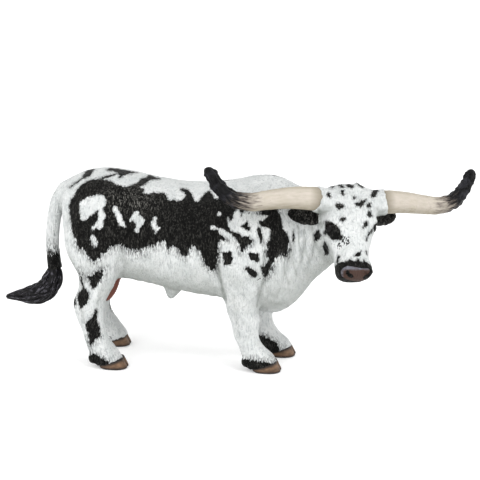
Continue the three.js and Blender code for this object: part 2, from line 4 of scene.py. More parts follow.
import bpy
import numpy as np
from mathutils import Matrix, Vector


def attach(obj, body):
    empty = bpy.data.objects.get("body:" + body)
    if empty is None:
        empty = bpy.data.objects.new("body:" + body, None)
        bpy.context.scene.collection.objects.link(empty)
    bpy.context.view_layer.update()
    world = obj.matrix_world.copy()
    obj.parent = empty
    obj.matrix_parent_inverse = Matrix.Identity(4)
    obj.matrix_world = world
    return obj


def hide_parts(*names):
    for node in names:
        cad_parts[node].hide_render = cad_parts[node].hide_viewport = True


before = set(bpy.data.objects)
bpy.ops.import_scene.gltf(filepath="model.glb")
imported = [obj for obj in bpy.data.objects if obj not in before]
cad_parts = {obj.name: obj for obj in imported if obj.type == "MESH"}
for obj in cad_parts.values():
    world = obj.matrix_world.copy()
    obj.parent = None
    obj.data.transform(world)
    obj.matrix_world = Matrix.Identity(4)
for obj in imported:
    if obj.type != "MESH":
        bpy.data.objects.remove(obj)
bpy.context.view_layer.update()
print("frame loaded")

# The body's frame: the floor is at sole height, and middleShift brings the whole over the origin
figure = {"sole": 1.5, "middleShift": (-4.92, 0.72, -1.5), "metresPerMm": 0.001}

# The photo's camera, fitted to the four hooves
view = {
    "azimuth": 9.0,
    "elevation": 16.0,
    "distance": 900.0,
    "target": (0.0, 54.0, 45.0),
    "focalPixels": 1827.0,
    "photoPixels": 480.0,
    "sensorWidth": 36.0,
}

# The head's place on the neck and its turn, tip and roll in degrees
headPose = {"at": (62.2, -14.0, 89.5), "turn": -64.0, "tip": -26.0, "roll": -5.4}


# Shapes from arrays


def toMetres(points):
    # metres = (body millimetres + middle shift) x 0.001
    return (np.asarray(points) + figure["middleShift"]) * figure["metresPerMm"]


def cameraAxes():
    # right, up and back of the camera: back = (sin az cos el, -cos az cos el, sin el)
    az = math.radians(view["azimuth"])
    el = math.radians(view["elevation"])
    back = np.array([math.sin(az) * math.cos(el), -math.cos(az) * math.cos(el), math.sin(el)])
    right = np.array([math.cos(az), math.sin(az), 0.0])
    return right, np.cross(back, right), back


def toPhoto(points):
    # Pinhole picture of a point: pixel = middle + focal (side, -height) / depth
    right, up, back = cameraAxes()
    eye = np.array(view["target"]) + view["distance"] * back
    ray = np.asarray(points) - eye
    depth = -(ray @ back)
    middle = view["photoPixels"] / 2
    across = middle + view["focalPixels"] * (ray @ right) / depth
    down = middle - view["focalPixels"] * (ray @ up) / depth
    return np.stack([across, down], 1)


def turnMatrix(axis, degrees):
    # Right-handed turn about one axis of the frame
    c, s = math.cos(math.radians(degrees)), math.sin(math.radians(degrees))
    i, j = [(1, 2), (2, 0), (0, 1)][axis]
    turn = np.eye(3)
    turn[i, i] = turn[j, j] = c
    turn[i, j], turn[j, i] = -s, s
    return turn


headTurn = turnMatrix(2, headPose["turn"]) @ turnMatrix(0, headPose["roll"]) @ turnMatrix(1, headPose["tip"])


def fromHead(points):
    # body = place + turn x head
    return np.asarray(points, float) @ headTurn.T + headPose["at"]


def toHead(points):
    # head = turned back (body - place)
    return (np.asarray(points, float) - headPose["at"]) @ headTurn


def between(rows, t):
    # Catmull-Rom: p1 + f/2 (p2 - p0 + f (2 p0 - 5 p1 + 4 p2 - p3 + f (3 p1 - p0 - 3 p2 + p3)))
    rows = np.asarray(rows, float)
    t = np.atleast_1d(np.asarray(t, float))
    i = np.minimum(t.astype(int), len(rows) - 2)
    f = (t - i)[:, None]
    p0, p1, p2, p3 = (rows[np.clip(i + k, 0, len(rows) - 1)] for k in (-1, 0, 1, 2))
    return p1 + f / 2 * (p2 - p0 + f * (2 * p0 - 5 * p1 + 4 * p2 - p3 + f * (3 * p1 - p0 - 3 * p2 + p3)))


def unit(vectors):
    # v / |v|
    return vectors / np.maximum(np.linalg.norm(vectors, axis=-1, keepdims=True), 1e-9)


def lineAxes(path, hint):
    # along = slope of the line, across = hint x along, up = along x across
    along = unit(np.gradient(path, axis=0))
    across = unit(np.cross(np.broadcast_to(hint, along.shape), along))
    return along, across, np.cross(along, across)


def ringGrid(ringCount, sides):
    # Quads between neighbouring rings, with a fan on the middle point of each end
    ring, side = np.meshgrid(np.arange(ringCount - 1), np.arange(sides), indexing="ij")
    a = (ring * sides + side).ravel()
    b = (ring * sides + (side + 1) % sides).ravel()
    quads = np.stack([a, b, b + sides, a + sides], 1)
    k = np.arange(sides)
    first, last = ringCount * sides, ringCount * sides + 1
    top = (ringCount - 1) * sides
    low = np.stack([np.full(sides, first), (k + 1) % sides, k], 1)
    high = np.stack([np.full(sides, last), top + k, top + (k + 1) % sides], 1)
    return quads.tolist() + low.tolist() + high.tolist()


def tube(centre, across, up, half, rise, fall, sides, taper=0.0, squareness=2.0, grow=0.0):
    # Superellipse rings: side = half (1 + taper sin a) |cos a|^(2/q), height = rise or fall x |sin a|^(2/q)
    count = len(centre)
    angle = (np.arange(sides) + 0.5) / sides * 2 * np.pi
    power = 2 / np.broadcast_to(squareness, count)[:, None]
    c, s = np.cos(angle)[None], np.sin(angle)[None]
    taper = np.broadcast_to(taper, count)[:, None]
    half, rise, fall = (np.broadcast_to(v, count)[:, None] + grow for v in (half, rise, fall))
    sideways = np.sign(c) * np.abs(c) ** power * half * (1 + taper * s)
    upwards = np.sign(s) * np.abs(s) ** power * np.where(s > 0, rise, fall)
    rings = centre[:, None] + across[:, None] * sideways[..., None] + up[:, None] * upwards[..., None]
    points = np.concatenate([rings.reshape(-1, 3), centre[:1], centre[-1:]])
    return points, ringGrid(count, sides)


def lineTube(rows, steps, sides, hint=(0, 0, 1), squareness=2.0, grow=0.0, upTo=None, startAt=0.0):
    # A tube along rows of x, y, z, half, rise, fall
    stop = len(rows) - 1 if upTo is None else upTo
    row = between(rows, np.linspace(startAt, stop, steps + 1))
    along, across, up = lineAxes(row[:, :3], np.array(hint, float))
    return tube(row[:, :3], across, up, row[:, 3], row[:, 4], row[:, 5], sides, 0.0, squareness, grow)


def ball(centre, radii, rings=14, sides=20):
    # Ellipsoid: centre + radii (cos u cos v, cos u sin v, sin u)
    u = np.linspace(-np.pi / 2, np.pi / 2, rings + 2)[1:-1]
    v = np.arange(sides) / sides * 2 * np.pi
    level, height = np.cos(u), np.outer(np.sin(u), np.ones(sides))
    grid = np.stack([np.outer(level, np.cos(v)), np.outer(level, np.sin(v)), height], -1)
    poles = np.array([[0, 0, -1.0], [0, 0, 1.0]])
    points = np.concatenate([grid.reshape(-1, 3), poles]) * radii + centre
    return points, ringGrid(rings, sides)


def makeObject(name, points, faces):
    # A smooth-shaded object at the origin, with its place in its mesh
    mesh = bpy.data.meshes.new(name)
    mesh.from_pydata(toMetres(points).tolist(), [], faces)
    mesh.polygons.foreach_set("use_smooth", np.full(len(mesh.polygons), True))
    mesh.update()
    obj = bpy.data.objects.new(name, mesh)
    bpy.context.scene.collection.objects.link(obj)
    return obj


def joinShells(shells):
    # One list of points; each shell's faces count on from the points before it
    points, faces, start = [], [], 0
    for shellPoints, shellFaces in shells:
        points.append(shellPoints)
        faces += [[i + start for i in face] for face in shellFaces]
        start += len(shellPoints)
    return np.concatenate(points), faces


def setNumber(obj, name, values):
    # One number at each point, for the paints to read
    layer = obj.data.attributes.new(name, "FLOAT", "POINT")
    layer.data.foreach_set("value", np.asarray(values, np.float32))


def setPlace(obj, name, values):
    # Three numbers at each point
    layer = obj.data.attributes.new(name, "FLOAT_VECTOR", "POINT")
    layer.data.foreach_set("vector", np.asarray(values, np.float32).ravel())


# The body's rows, as in the solids: [x, top, bottom, half width, taper, squareness]

torsoRows = [
    [-74.0, 78, 67, 4.5, 0, 2],
    [-72.8, 84, 57, 10.5, 0, 2.1],
    [-69, 88.4, 49, 14.5, 0, 2.2],
    [-62, 91.2, 44, 17.5, 0.05, 2.35],
    [-53, 92.2, 41.5, 19.2, 0.06, 2.4],
    [-43, 91.4, 40.5, 19.8, 0.02, 2.3],
    [-32, 89.2, 38.8, 20.6, -0.04, 2.25],
    [-20, 87.6, 36.6, 21.4, -0.08, 2.25],
    [-8, 87.4, 35, 21.8, -0.08, 2.25],
    [4, 88.8, 33.4, 21.4, -0.06, 2.25],
    [14, 91.2, 30.6, 20.4, -0.04, 2.2],
    [22, 92.2, 28.2, 19.2, 0, 2.1],
    [30, 90.4, 29, 17, 0.05, 2],
    [37, 86.5, 35, 13.5, 0.05, 2],
    [42, 80, 45, 9, 0, 2],
    [44.5, 70, 56, 4, 0, 2],
]
# [x, y, z, half, rise, fall]
neckRows = [
    [22, 0, 61, 15, 26, 25],
    [32, 0, 65, 15, 23.5, 24.5],
    [41, -0.8, 69, 12.8, 19.5, 21.5],
    [48, -3, 72.5, 10.8, 16, 18],
    [54, -6.5, 75.5, 9.6, 13.5, 14.5],
    [58.5, -10.5, 78, 8, 10.5, 10],
]
dewlapRows = [
    [54, -6.5, 61, 2.2, 5, 3],
    [48.5, -4, 55.5, 3, 7, 4],
    [42.5, -2, 49, 3.8, 9, 4],
    [37, -0.6, 42, 4.8, 10, 4.5],
    [31, 0, 35.5, 6, 10, 5],
    [23, 0, 31.5, 7, 9, 5],
    [14, 0, 32, 6, 5, 2.5],
]
sheathRows = [
    [-24.5, 0, 30.6, 0.7, 0.7, 0.7],
    [-24.4, 0, 31.4, 1.4, 1.8, 1.8],
    [-24, 0, 33.6, 2.4, 3.4, 3.4],
    [-23.4, 0, 36.2, 3.4, 5, 5],
    [-23, 0, 40, 3, 5, 5],
]
# Right legs from hip to fetlock: [x, y, z, half along the body, half across it]
hindRows = [
    [-55.5, -10.5, 78, 11, 7],
    [-57, -12, 68, 14, 8.6],
    [-57.2, -13.4, 58, 14, 8.8],
    [-56, -14.4, 50, 11.8, 7.8],
    [-55, -15.2, 43.5, 9.4, 6.4],
    [-56.8, -15.8, 38.4, 8.2, 5.3],
    [-59.2, -16.2, 33.6, 7.8, 4.8],
    [-59.4, -16.5, 27, 6.7, 4.3],
    [-57.8, -16.7, 20, 5.5, 4.2],
    [-55.6, -16.8, 14, 6, 4.6],
    [-52.9, -16.8, 9, 7, 5.4],
    [-51, -16.8, 5, 7, 5.8],
    [-49.6, -16.8, 2.4, 6.6, 5.8],
]
foreRows = [
    [17, -9.5, 82, 8, 6],
    [16, -11.5, 72, 12, 8.4],
    [14.5, -12.6, 60, 13, 8.8],
    [12.6, -13, 50, 11.5, 8.2],
    [11.6, -12.8, 42, 9.8, 7.2],
    [11.6, -12.4, 35.6, 8.3, 6.4],
    [11.8, -12, 30, 7.2, 5.8],
    [12.7, -11.6, 25, 6.6, 5.4],
    [13.2, -11.3, 18.3, 5.7, 4.9],
    [15.6, -11, 13, 6, 5.1],
    [18.6, -10.9, 8.7, 7.4, 5.7],
    [20.2, -10.8, 5, 7.2, 5.9],
    [21, -10.8, 2.4, 6.8, 5.9],
]
# Where each foot stands against the rows, how far the hock is bent, and the black hair over the hoof:
# its height at the heel and the share of the hoof's length that it runs along
legs = {
    "hind_right": {
        "rows": hindRows, "side": -1, "forward": 0.0, "outward": 0.0, "bend": 0.0,
        "hoofX": -48.6, "hair": (6.0, 0.5),
    },
    "hind_left": {
        "rows": hindRows, "side": 1, "forward": -4.6, "outward": -1.5, "bend": 1.0,
        "hoofX": -49.7, "hair": (2.6, 0.3),
    },
    "fore_right": {
        "rows": foreRows, "side": -1, "forward": 0.0, "outward": 0.0, "bend": 0.0,
        "hoofX": 22.5, "hair": (5.4, 0.78),
    },
    "fore_left": {
        "rows": foreRows, "side": 1, "forward": 4.5, "outward": 1.5, "bend": 0.0,
        "hoofX": 21.7, "hair": (9.5, 0.6),
    },
}
bentHock = {
    "thigh": 2.8, "thighAt": 39.0, "thighReach": 7.5, "cannon": -1.6, "cannonAt": 21.0, "cannonReach": 7.0,
}
# The hoof's top line rises towards the toe, and the leg reaches a little way below it
coronet = {"height": 5.3, "slope": 0.3, "sunk": 0.6}
dewclaw = {"back": -8.3, "aside": 2.7, "height": 6.8, "radii": (2.8, 2.2, 3.4), "lean": 22.9}
tailRows = [
    [-66, 0, 85.2, 4.2, 3.6, 3.6],
    [-71.5, 0, 83.2, 4, 3.6, 3.6],
    [-76, 0, 78.2, 3.6, 3.5, 3.5],
    [-78.7, 0, 71.5, 3.4, 3.4, 3.4],
    [-80, 0, 64, 3.2, 3.2, 3.2],
    [-80.6, 0, 56, 3.1, 3.2, 3.2],
    [-80.3, 0, 49, 3.2, 3.4, 3.4],
    [-79.8, 0, 43, 3.4, 3.7, 3.7],
]
switchRows = [
    [-79.8, 0, 43.4, 3, 3.3, 3.3],
    [-80.6, 0, 38.6, 3.6, 4.2, 4.2],
    [-83.2, 0.2, 33.6, 4.2, 4.8, 4.8],
    [-87.6, 0.5, 30.2, 4.3, 4.7, 4.7],
    [-92.6, 0.9, 28.8, 3.7, 3.9, 3.9],
    [-98.5, 1.3, 28, 2.4, 2.3, 2.3],
    [-104.4, 1.6, 27.2, 0.9, 0.9, 0.9],
]
# Head: [z, face, jaw, half width, taper, squareness], nose downwards from the poll at z = 0
headRows = [
    [4.6, -6, -11, 5, 0, 2],
    [3.6, -3.4, -14, 8.8, 0, 2.1],
    [1, -1, -16.5, 11.6, 0.02, 2.3],
    [-4, 0.4, -18.4, 12.4, 0.04, 2.5],
    [-9.5, 0.6, -20.6, 12.2, 0.06, 2.6],
    [-14.5, 0.4, -22, 11.6, 0.1, 2.6],
    [-19.5, -0.2, -22, 10.4, 0.1, 2.5],
    [-24.5, -0.8, -19.2, 8.9, 0.12, 2.4],
    [-29, -1, -16.4, 8, 0.16, 2.35],
    [-33, -0.8, -14.6, 8.2, 0.18, 2.4],
    [-36, -1.2, -13.6, 8.2, 0.16, 2.4],
    [-38.2, -2.8, -12.4, 6.8, 0.12, 2.3],
    [-39.4, -5, -10.8, 4, 0, 2.1],
]
eyes = {
    "at": (-5.8, 10.4, -15.2), "radii": (2.8, 1.6, 2.2), "turn": -14.0,
    "socketReach": 2.5, "socketDepth": 1.1,
}
brow = {"at": (-4.8, 9.2, -11.6), "radii": (3.4, 2.4, 3.2)}
hornRows = [
    [-6.6, 7, -4.4, 5.4, 5.4, 5.4],
    [-5.6, 13, -3.8, 5.3, 5.4, 5.4],
    [-5.4, 18, -3.3, 5.1, 5.3, 5.3],
    [-8, 27.1, -2.8, 4.7, 4.9, 4.9],
    [-10.6, 36.7, -3, 4.3, 4.4, 4.4],
    [-11.4, 45.7, -3.2, 4, 4, 4],
    [-11.6, 53.4, -0.8, 3.5, 3.5, 3.5],
    [-11.8, 58.8, 4.3, 3, 3, 3],
    [-12.1, 62.4, 10.2, 2.5, 2.5, 2.5],
    [-12.4, 63.9, 13.2, 1.9, 1.9, 1.9],
    [-12.5, 64.3, 14.2, 0.9, 0.9, 0.9],
]
# The right horn is set a little higher at its base and bends up less at its tip
hornRise = {"lift": 1.1, "liftFrom": 4.0, "liftTo": 48.0, "drop": 1.9, "dropFrom": 36.0, "dropTo": 64.3}
collar = {
    "row": 1.7, "extra": 0.55, "steps": 24, "sides": 72, "scallops": 9, "scallopDepth": 0.8, "frontPull": 1.8,
}
earRows = [
    [-9.4, 9.5, -9.6, 1.8, 2.2, 2.2],
    [-10.8, 12.5, -9.4, 1.6, 2.6, 2.8],
    [-12.5, 16.3, -8.9, 1.5, 3.5, 4.2],
    [-13.9, 20.3, -8.2, 1.4, 3.8, 4.1],
    [-15.2, 24, -7.4, 1.2, 3.1, 3.1],
    [-16.2, 26.3, -6.9, 0.6, 1.4, 1.4],
]
earCup = {"path": [(-11.0, 14.5, -9.2), (-11.9, 19.2, -8.6), (-13.6, 23.6, -7.8)], "reach": 1.9, "depth": 1.2}
scrotum = {
    "at": (-52.8, 0.0, 36.0), "radii": (3.8, 3.8, 9.0), "lean": 25.8,
    "paintTop": 41.5, "paintRim": 1.12, "paintFade": 5.0,
}
# Clumps of poll hair: [z, reach to each side, count, length], half sunk in the skull
pollRows = [[3.2, 5.6, 6, 2.9], [0.8, 8.6, 9, 3.4], [-2.8, 9, 9, 3.4], [-6.6, 7.6, 8, 3.2]]
pollClump = {
    "thick": 1.25, "wide": 1.25, "sunk": 0.75, "half": (0.38, 0.6), "fan": 0.25,
    "tilt": (-0.3, 0.3), "aside": (-0.3, 0.3), "along": (-0.5, 0.3),
}


def legLine(leg):
    # The foot stands forward and outward of the rows by the share (1 - z / top)^1.2; a bent hock adds
    # size exp(-((z - at) / reach)^2) for thigh and cannon
    rows = np.array(leg["rows"], float)
    z = rows[:, 2]
    share = (1 - z / z[0]) ** 1.2
    bend = sum(
        bentHock[part] * np.exp(-(((z - bentHock[part + "At"]) / bentHock[part + "Reach"]) ** 2))
        for part in ("thigh", "cannon")
    )
    x = rows[:, 0] + leg["forward"] * share + leg["bend"] * bend
    y = leg["side"] * (-rows[:, 1] + leg["outward"] * share)
    return np.stack([x, y, z, rows[:, 4], rows[:, 3], rows[:, 3]], 1)


def hoofMiddle(leg):
    # x of the hoof moved forward with the foot, y of the leg's last row
    return leg["hoofX"] + leg["forward"], legLine(leg)[-1, 1]


def coronetHeight(points, x):
    # Height of a point over the hoof's sloping top plane
    return points[:, 2] - (coronet["height"] + coronet["slope"] * (points[:, 0] - x))


def uprightTube(rows, rings, sides, fromFront):
    # A tube through rows of [place, high, low, half width, taper, squareness]; each ring's middle is
    # (high + low) / 2 and its reach (high - low) / 2, along z or, for the head, along its own x
    row = between(rows, np.linspace(0, len(rows) - 1, rings))
    reach, flat = (row[:, 1] - row[:, 2]) / 2, np.zeros(len(row))
    middle = row[:, 2] + reach
    centre = np.stack([middle, flat, row[:, 0]] if fromFront else [row[:, 0], flat, middle], 1)
    across = np.broadcast_to([0.0, 1, 0], centre.shape)
    up = np.broadcast_to([1.0, 0, 0] if fromFront else [0.0, 0, 1], centre.shape)
    return tube(centre, across, up, row[:, 3], reach, reach, sides, row[:, 4], row[:, 5])


def legShell(leg):
    # The leg's tube, its foot held up to the coronet plane, and two leaning ellipsoids for the dewclaws
    row = between(legLine(leg), np.linspace(0, len(leg["rows"]) - 1, 70))
    across = np.broadcast_to([0.0, 1, 0], (len(row), 3))
    up = np.broadcast_to([1.0, 0, 0], (len(row), 3))
    points, faces = tube(row[:, :3], across, up, row[:, 3], row[:, 4], row[:, 5], 40, 0.0, 2.15)
    x, y = hoofMiddle(leg)
    points[:, 2] -= np.minimum(coronetHeight(points, x) + coronet["sunk"], 0)
    lean = turnMatrix(1, dewclaw["lean"])
    claws = []
    for side in (-1, 1):
        claw, clawFaces = ball((0, 0, 0), dewclaw["radii"])
        at = (x + dewclaw["back"], y + side * dewclaw["aside"], dewclaw["height"])
        claws.append((claw @ lean.T + at, clawFaces))
    return [(points, faces)] + claws


def mirrored(rows, side):
    # y becomes side x y
    rows = np.array(rows, float)
    rows[:, 1] *= side
    return rows


def hornLine(side):
    # Mirrored rows; the right horn gets lift sin(pi a) - drop b^2 with a and b its shares of two stretches
    rows = mirrored(hornRows, side)
    if side < 0:
        far = np.abs(rows[:, 1])
        a = np.clip((far - hornRise["liftFrom"]) / (hornRise["liftTo"] - hornRise["liftFrom"]), 0, 1)
        b = np.clip((far - hornRise["dropFrom"]) / (hornRise["dropTo"] - hornRise["dropFrom"]), 0, 1)
        rows[:, 2] += hornRise["lift"] * np.sin(np.pi * a) - hornRise["drop"] * b**2
    return rows


def collarShell(side):
    # The skin's collar round the horn: its end is scalloped by depth |sin(n a / 2)| and drawn back by
    # pull f^2 at the front, where f is the forward share of the ring
    steps, count = collar["steps"], collar["sides"]
    points, faces = lineTube(hornLine(side), steps, count, grow=collar["extra"], upTo=collar["row"])
    angle = (np.arange(count) + 0.5) / count * 2 * np.pi
    lip = collar["scallopDepth"] * np.abs(np.sin(collar["scallops"] / 2 * angle))
    endRing = slice(steps * count, (steps + 1) * count)
    ring = points[endRing]
    forward = np.clip((ring[:, 0] - ring[:, 0].mean()) / np.ptp(ring[:, 0]) * 2, 0, 1)
    points[endRing, 1] += side * (lip - collar["frontPull"] * forward**2)
    return fromHead(points), faces


def faceAt(z, y):
    # The skull's surface: middle + reach (1 - |y / half|^q)^(1/q) on its section at height z
    rows = np.array(headRows, float)[::-1]
    face, jaw, half, squareness = (np.interp(z, rows[:, 0], rows[:, k]) for k in (1, 2, 3, 5))
    return (face + jaw) / 2 + (face - jaw) / 2 * max(0, 1 - abs(y / half) ** squareness) ** (1 / squareness)


def pollHair():
    # Short rounded clumps: ellipsoids leaning outwards in rows over the poll
    draw = np.random.default_rng(7)
    clumps = []
    for z, reach, count, length in pollRows:
        for y in np.linspace(-reach, reach, int(count)):
            size = length * draw.uniform(*pollClump["half"])
            lean = pollClump["fan"] * y / reach + draw.uniform(*pollClump["tilt"])
            lean = turnMatrix(0, math.degrees(lean))
            clump, faces = ball((0, 0, 0), (pollClump["thick"], pollClump["wide"], size), 10, 14)
            aside, along = draw.uniform(*pollClump["aside"]), draw.uniform(*pollClump["along"])
            at = (faceAt(z, y) - pollClump["sunk"], y + aside, z + along)
            clumps.append((fromHead(clump @ lean.T + at), faces))
    return clumps


def skinShells():
    # Every closed shell that the skin is drawn over
    shells = [
        uprightTube(torsoRows, 90, 72, fromFront=False),
        lineTube(neckRows, 40, 60),
        lineTube(dewlapRows, 60, 40),
        lineTube(sheathRows, 20, 28, hint=(1, 0, 0)),
    ]
    for leg in legs.values():
        shells += legShell(leg)
    shells.append(lineTube(tailRows, 80, 30, hint=(0, 1, 0)))
    points, faces = uprightTube(headRows, 90, 64, fromFront=True)
    shells.append((fromHead(points), faces))
    for side in (-1, 1):
        shells.append(collarShell(side))
        ear = lineTube(mirrored(earRows, side), 40, 36)
        arch = ball(np.multiply(brow["at"], (1, side, 1)), brow["radii"])
        shells += [(fromHead(points), faces) for points, faces in (ear, arch)]
    points, faces = ball((0, 0, 0), scrotum["radii"], 20, 30)
    shells.append((points @ turnMatrix(1, scrotum["lean"]).T + scrotum["at"], faces))
    return shells + pollHair()


# One closed skin over all of the flesh

# Steps and shares of the smoothing, where the easing of the joins fades out, and what counts as a hollow
skin = {
    "voxel": 0.675, "evenSteps": 4, "evenShares": (0.5, -0.52), "blendSteps": 45, "blendShares": (0.6,),
    "blendLow": 30.0, "blendLowOver": 8.0, "blendTail": -76.0, "blendTailOver": 3.0,
    "blendHead": -15.0, "blendHeadOver": 5.0, "creaseReach": 1.7,
}


def voxelSkin():
    # The outer surface of all the shells together on a voxel grid, as points and quads
    points, faces = joinShells(skinShells())
    rough = makeObject("skinShells", points, faces)
    remesh = rough.modifiers.new("Remesh", "REMESH")
    remesh.mode = "VOXEL"
    remesh.voxel_size = skin["voxel"] * figure["metresPerMm"]
    shaped = rough.evaluated_get(bpy.context.evaluated_depsgraph_get())
    mesh = bpy.data.meshes.new_from_object(shaped)
    co = np.empty(len(mesh.vertices) * 3)
    mesh.vertices.foreach_get("co", co)
    corner = np.empty(len(mesh.loops), int)
    mesh.loops.foreach_get("vertex_index", corner)
    bpy.data.objects.remove(rough)
    bpy.data.meshes.remove(mesh)
    points = co.reshape(-1, 3) / figure["metresPerMm"] - figure["middleShift"]
    return points, corner.reshape(-1, 4)


def quadEdges(quads):
    # Each edge once, as its two points
    pairs = np.concatenate([quads[:, [k, (k + 1) % 4]] for k in range(4)])
    return np.unique(np.sort(pairs, 1), axis=0)


def spread(values, edges, count):
    # Sum over neighbours, one column at a time
    a, b = edges.T
    return np.stack([np.bincount(a, v[b], count) + np.bincount(b, v[a], count) for v in values.T], 1)


def relaxed(points, edges, steps, shares):
    # Each step moves a point by share x (mean of neighbours - point); a negative share swells it back
    count = len(points)
    degree = np.bincount(edges.ravel(), minlength=count)[:, None]
    for _ in range(steps):
        for share in shares:
            points = points + share * (spread(points, edges, count) / degree - points)
    return points


def surfaceNormals(points, quads):
    # Cross product of each quad's diagonals, summed at its corners
    cross = np.cross(points[quads[:, 2]] - points[quads[:, 0]], points[quads[:, 3]] - points[quads[:, 1]])
    count = len(points)
    total = np.stack([np.bincount(quads.ravel(), np.repeat(cross[:, c], 4), count) for c in range(3)], 1)
    return unit(total)


def lineDistance(points, path):
    # Least distance to the stretches of a path: |p - a - t (b - a)| with t held in 0..1
    path = np.asarray(path, float)
    best = np.full(len(points), 1e9)
    for a, b in zip(path[:-1], path[1:]):
        d = b - a
        t = np.clip((points - a) @ d / max(d @ d, 1e-9), 0, 1)
        best = np.minimum(best, np.linalg.norm(points - a - t[:, None] * d, axis=1))
    return best


def lump(points, at, reach):
    # Bell round a place: exp(-(distance / reach)^2)
    return np.exp(-(np.sum((points - at) ** 2, 1)) / reach**2)


def crease(points, path, reach):
    # Bell along a path: exp(-(distance / reach)^2)
    return np.exp(-((lineDistance(points, path) / reach) ** 2))


def grain(points, size, seed):
    # Value noise from -1 to 1 on a lattice of the given cell sizes, eased by 3f^2 - 2f^3
    p = points / np.asarray(size, float) + 1000
    cell = np.floor(p).astype(np.int64)
    f = p - cell
    f = f * f * (3 - 2 * f)
    total = np.zeros(len(points))
    for corner in range(8):
        bits = np.array([corner & 1, corner >> 1 & 1, corner >> 2 & 1])
        k = cell + bits
        h = (k[:, 0] * 73856093 ^ k[:, 1] * 19349663 ^ k[:, 2] * 83492791 ^ seed * 2654435761) & 0xFFFFFF
        h = (h * 1103515245 + 12345) & 0x7FFFFFFF
        h = ((h >> 8) * 1103515245 + 12345) & 0x7FFFFFFF
        value = (h >> 10 & 0xFFFF) / 32767.5 - 1
        weight = np.prod(np.where(bits, f, 1 - f), 1)
        total += value * weight
    return total


# Sculpted forms of the right side, mirrored to the left: [path, reach, height]
bodyForms = [
    ([(20, -15, 88), (13, -20, 66), (8, -20, 52)], 5.0, 1.1),
    ([(3, -20, 80), (1, -22, 62), (2, -21, 50)], 4.0, -1.0),
    ([(0.5, -20.5, 54), (3, -19, 43), (4.2, -15, 35)], 1.0, -1.4),
    ([(24, -17, 52), (21.2, -17, 42), (19.4, -14, 33)], 1.2, -1.1),
    ([(-44, -14, 87), (-48, -15, 84)], 4.0, 1.1),
    ([(-71, -6, 79), (-69, -9, 76)], 3.5, 0.9),
    ([(-37, -19, 76), (-39, -20, 64)], 6.0, -1.3),
    ([(-43, -19, 60), (-44, -18, 50), (-46.5, -15, 43)], 2.0, -1.2),
    ([(-40, -20, 54), (-30, -21, 47), (-20, -21, 44)], 3.4, 0.5),
    ([(-68.5, -14, 72), (-67, -17, 58), (-65, -17, 46)], 1.6, -0.9),
    ([(-52, -22, 70), (-54, -23, 56)], 5.0, 1.0),
    ([(-60, -20, 50), (-61.5, -20, 42), (-64, -19, 36)], 1.3, -0.7),
    ([(-62.8, -20.5, 41), (-63.2, -20.5, 32), (-61.5, -20.5, 24)], 1.1, -0.7),
    ([(-52, -20, 44), (-55, -20.5, 36), (-57, -20.5, 30)], 2.0, 0.6),
    ([(15.5, -17, 27), (15.5, -16, 22)], 2.4, 0.6),
    ([(9, -18, 40), (9.5, -17, 28), (10.5, -16, 18)], 1.0, -0.5),
    ([(16.5, -18, 42), (16, -17, 33)], 2.2, 0.5),
]
neckForms = [
    ([(38, -14, 86), (37, -15.5, 70), (33, -14, 52), (29, -11, 40)], 1.1, -0.85),
    ([(42.5, -14, 84), (41.5, -15, 68), (38.5, -12, 54), (34, -8, 43)], 1.0, -0.8),
    ([(46.5, -14, 82), (46, -14.5, 68), (43.5, -11, 56)], 0.9, -0.75),
    ([(50, -14.5, 76), (49.5, -14, 66), (47, -10, 58)], 0.9, -0.7),
    ([(35, -16, 62), (31, -14, 48), (27, -12, 36)], 1.0, -0.5),
    ([(40, -15, 80), (39, -15.5, 68)], 1.5, 0.5),
    ([(48.5, -15, 78), (48, -15, 68)], 1.4, 0.5),
]
# Sculpted forms of the head, in the head's own frame, right side mirrored to the left
headForms = [
    ([(-3.6, -9.6, -12.6), (-4.2, -11, -12.9), (-7.4, -11.6, -13.2)], 1.2, 0.9),
    ([(-2.6, -9.4, -17), (-4.5, -10.6, -18), (-8.4, -11.2, -17.6)], 0.9, 0.6),
    ([(-1, -5.5, -15), (-1.4, -5.6, -20)], 2.6, -0.7),
    ([(-3.4, -8.6, -20), (-4, -7.6, -28)], 2.4, -0.7),
    ([(-14, -11.5, -12), (-15.5, -11, -18), (-15.5, -9.5, -24)], 3.0, 0.9),
    (
        [(-8.6, -8.4, -30), (-9.6, -8.2, -33.4), (-9.2, -7.4, -36), (-8, -5, -38.4), (-7.6, 0, -39.6)],
        0.6, -0.8,
    ),
    ([(-1.4, -5.4, -33), (-2.2, -6.4, -35.4)], 1.5, 0.6),
    ([(-2.2, -3.4, -35.8), (-2.6, -4.8, -36.6), (-3.8, -5.9, -37)], 0.75, -1.5),
    ([(-1.0, -2.6, -34.9), (-1.6, -5.6, -35), (-3.8, -7.4, -35.8)], 0.8, 0.5),
    ([(-2.4, 0, -36), (-5, 0, -38.6)], 0.6, -0.35),
]


# Fine relief: (cell size, seed, height). It is shallower on feet and face, and the poll has tufts on top
relief = {
    "hair": [((1.2, 1.2, 4.4), 3, 0.15), ((2.8, 2.8, 6), 4, 0.16)],
    "tufts": [((1.5, 1.4, 2.6), 5, 0.34), ((0.9, 0.9, 1.8), 6, 0.14)],
    "feetFrom": 6.0, "feetOver": 8.0, "feetLeast": 0.3, "face": 0.3,
    "pollFrom": -22.0, "pollOver": 14.0, "pollBack": -14.0,
    "headTop": 8.0, "headBack": -26.0, "headHalf": 32.0,
}


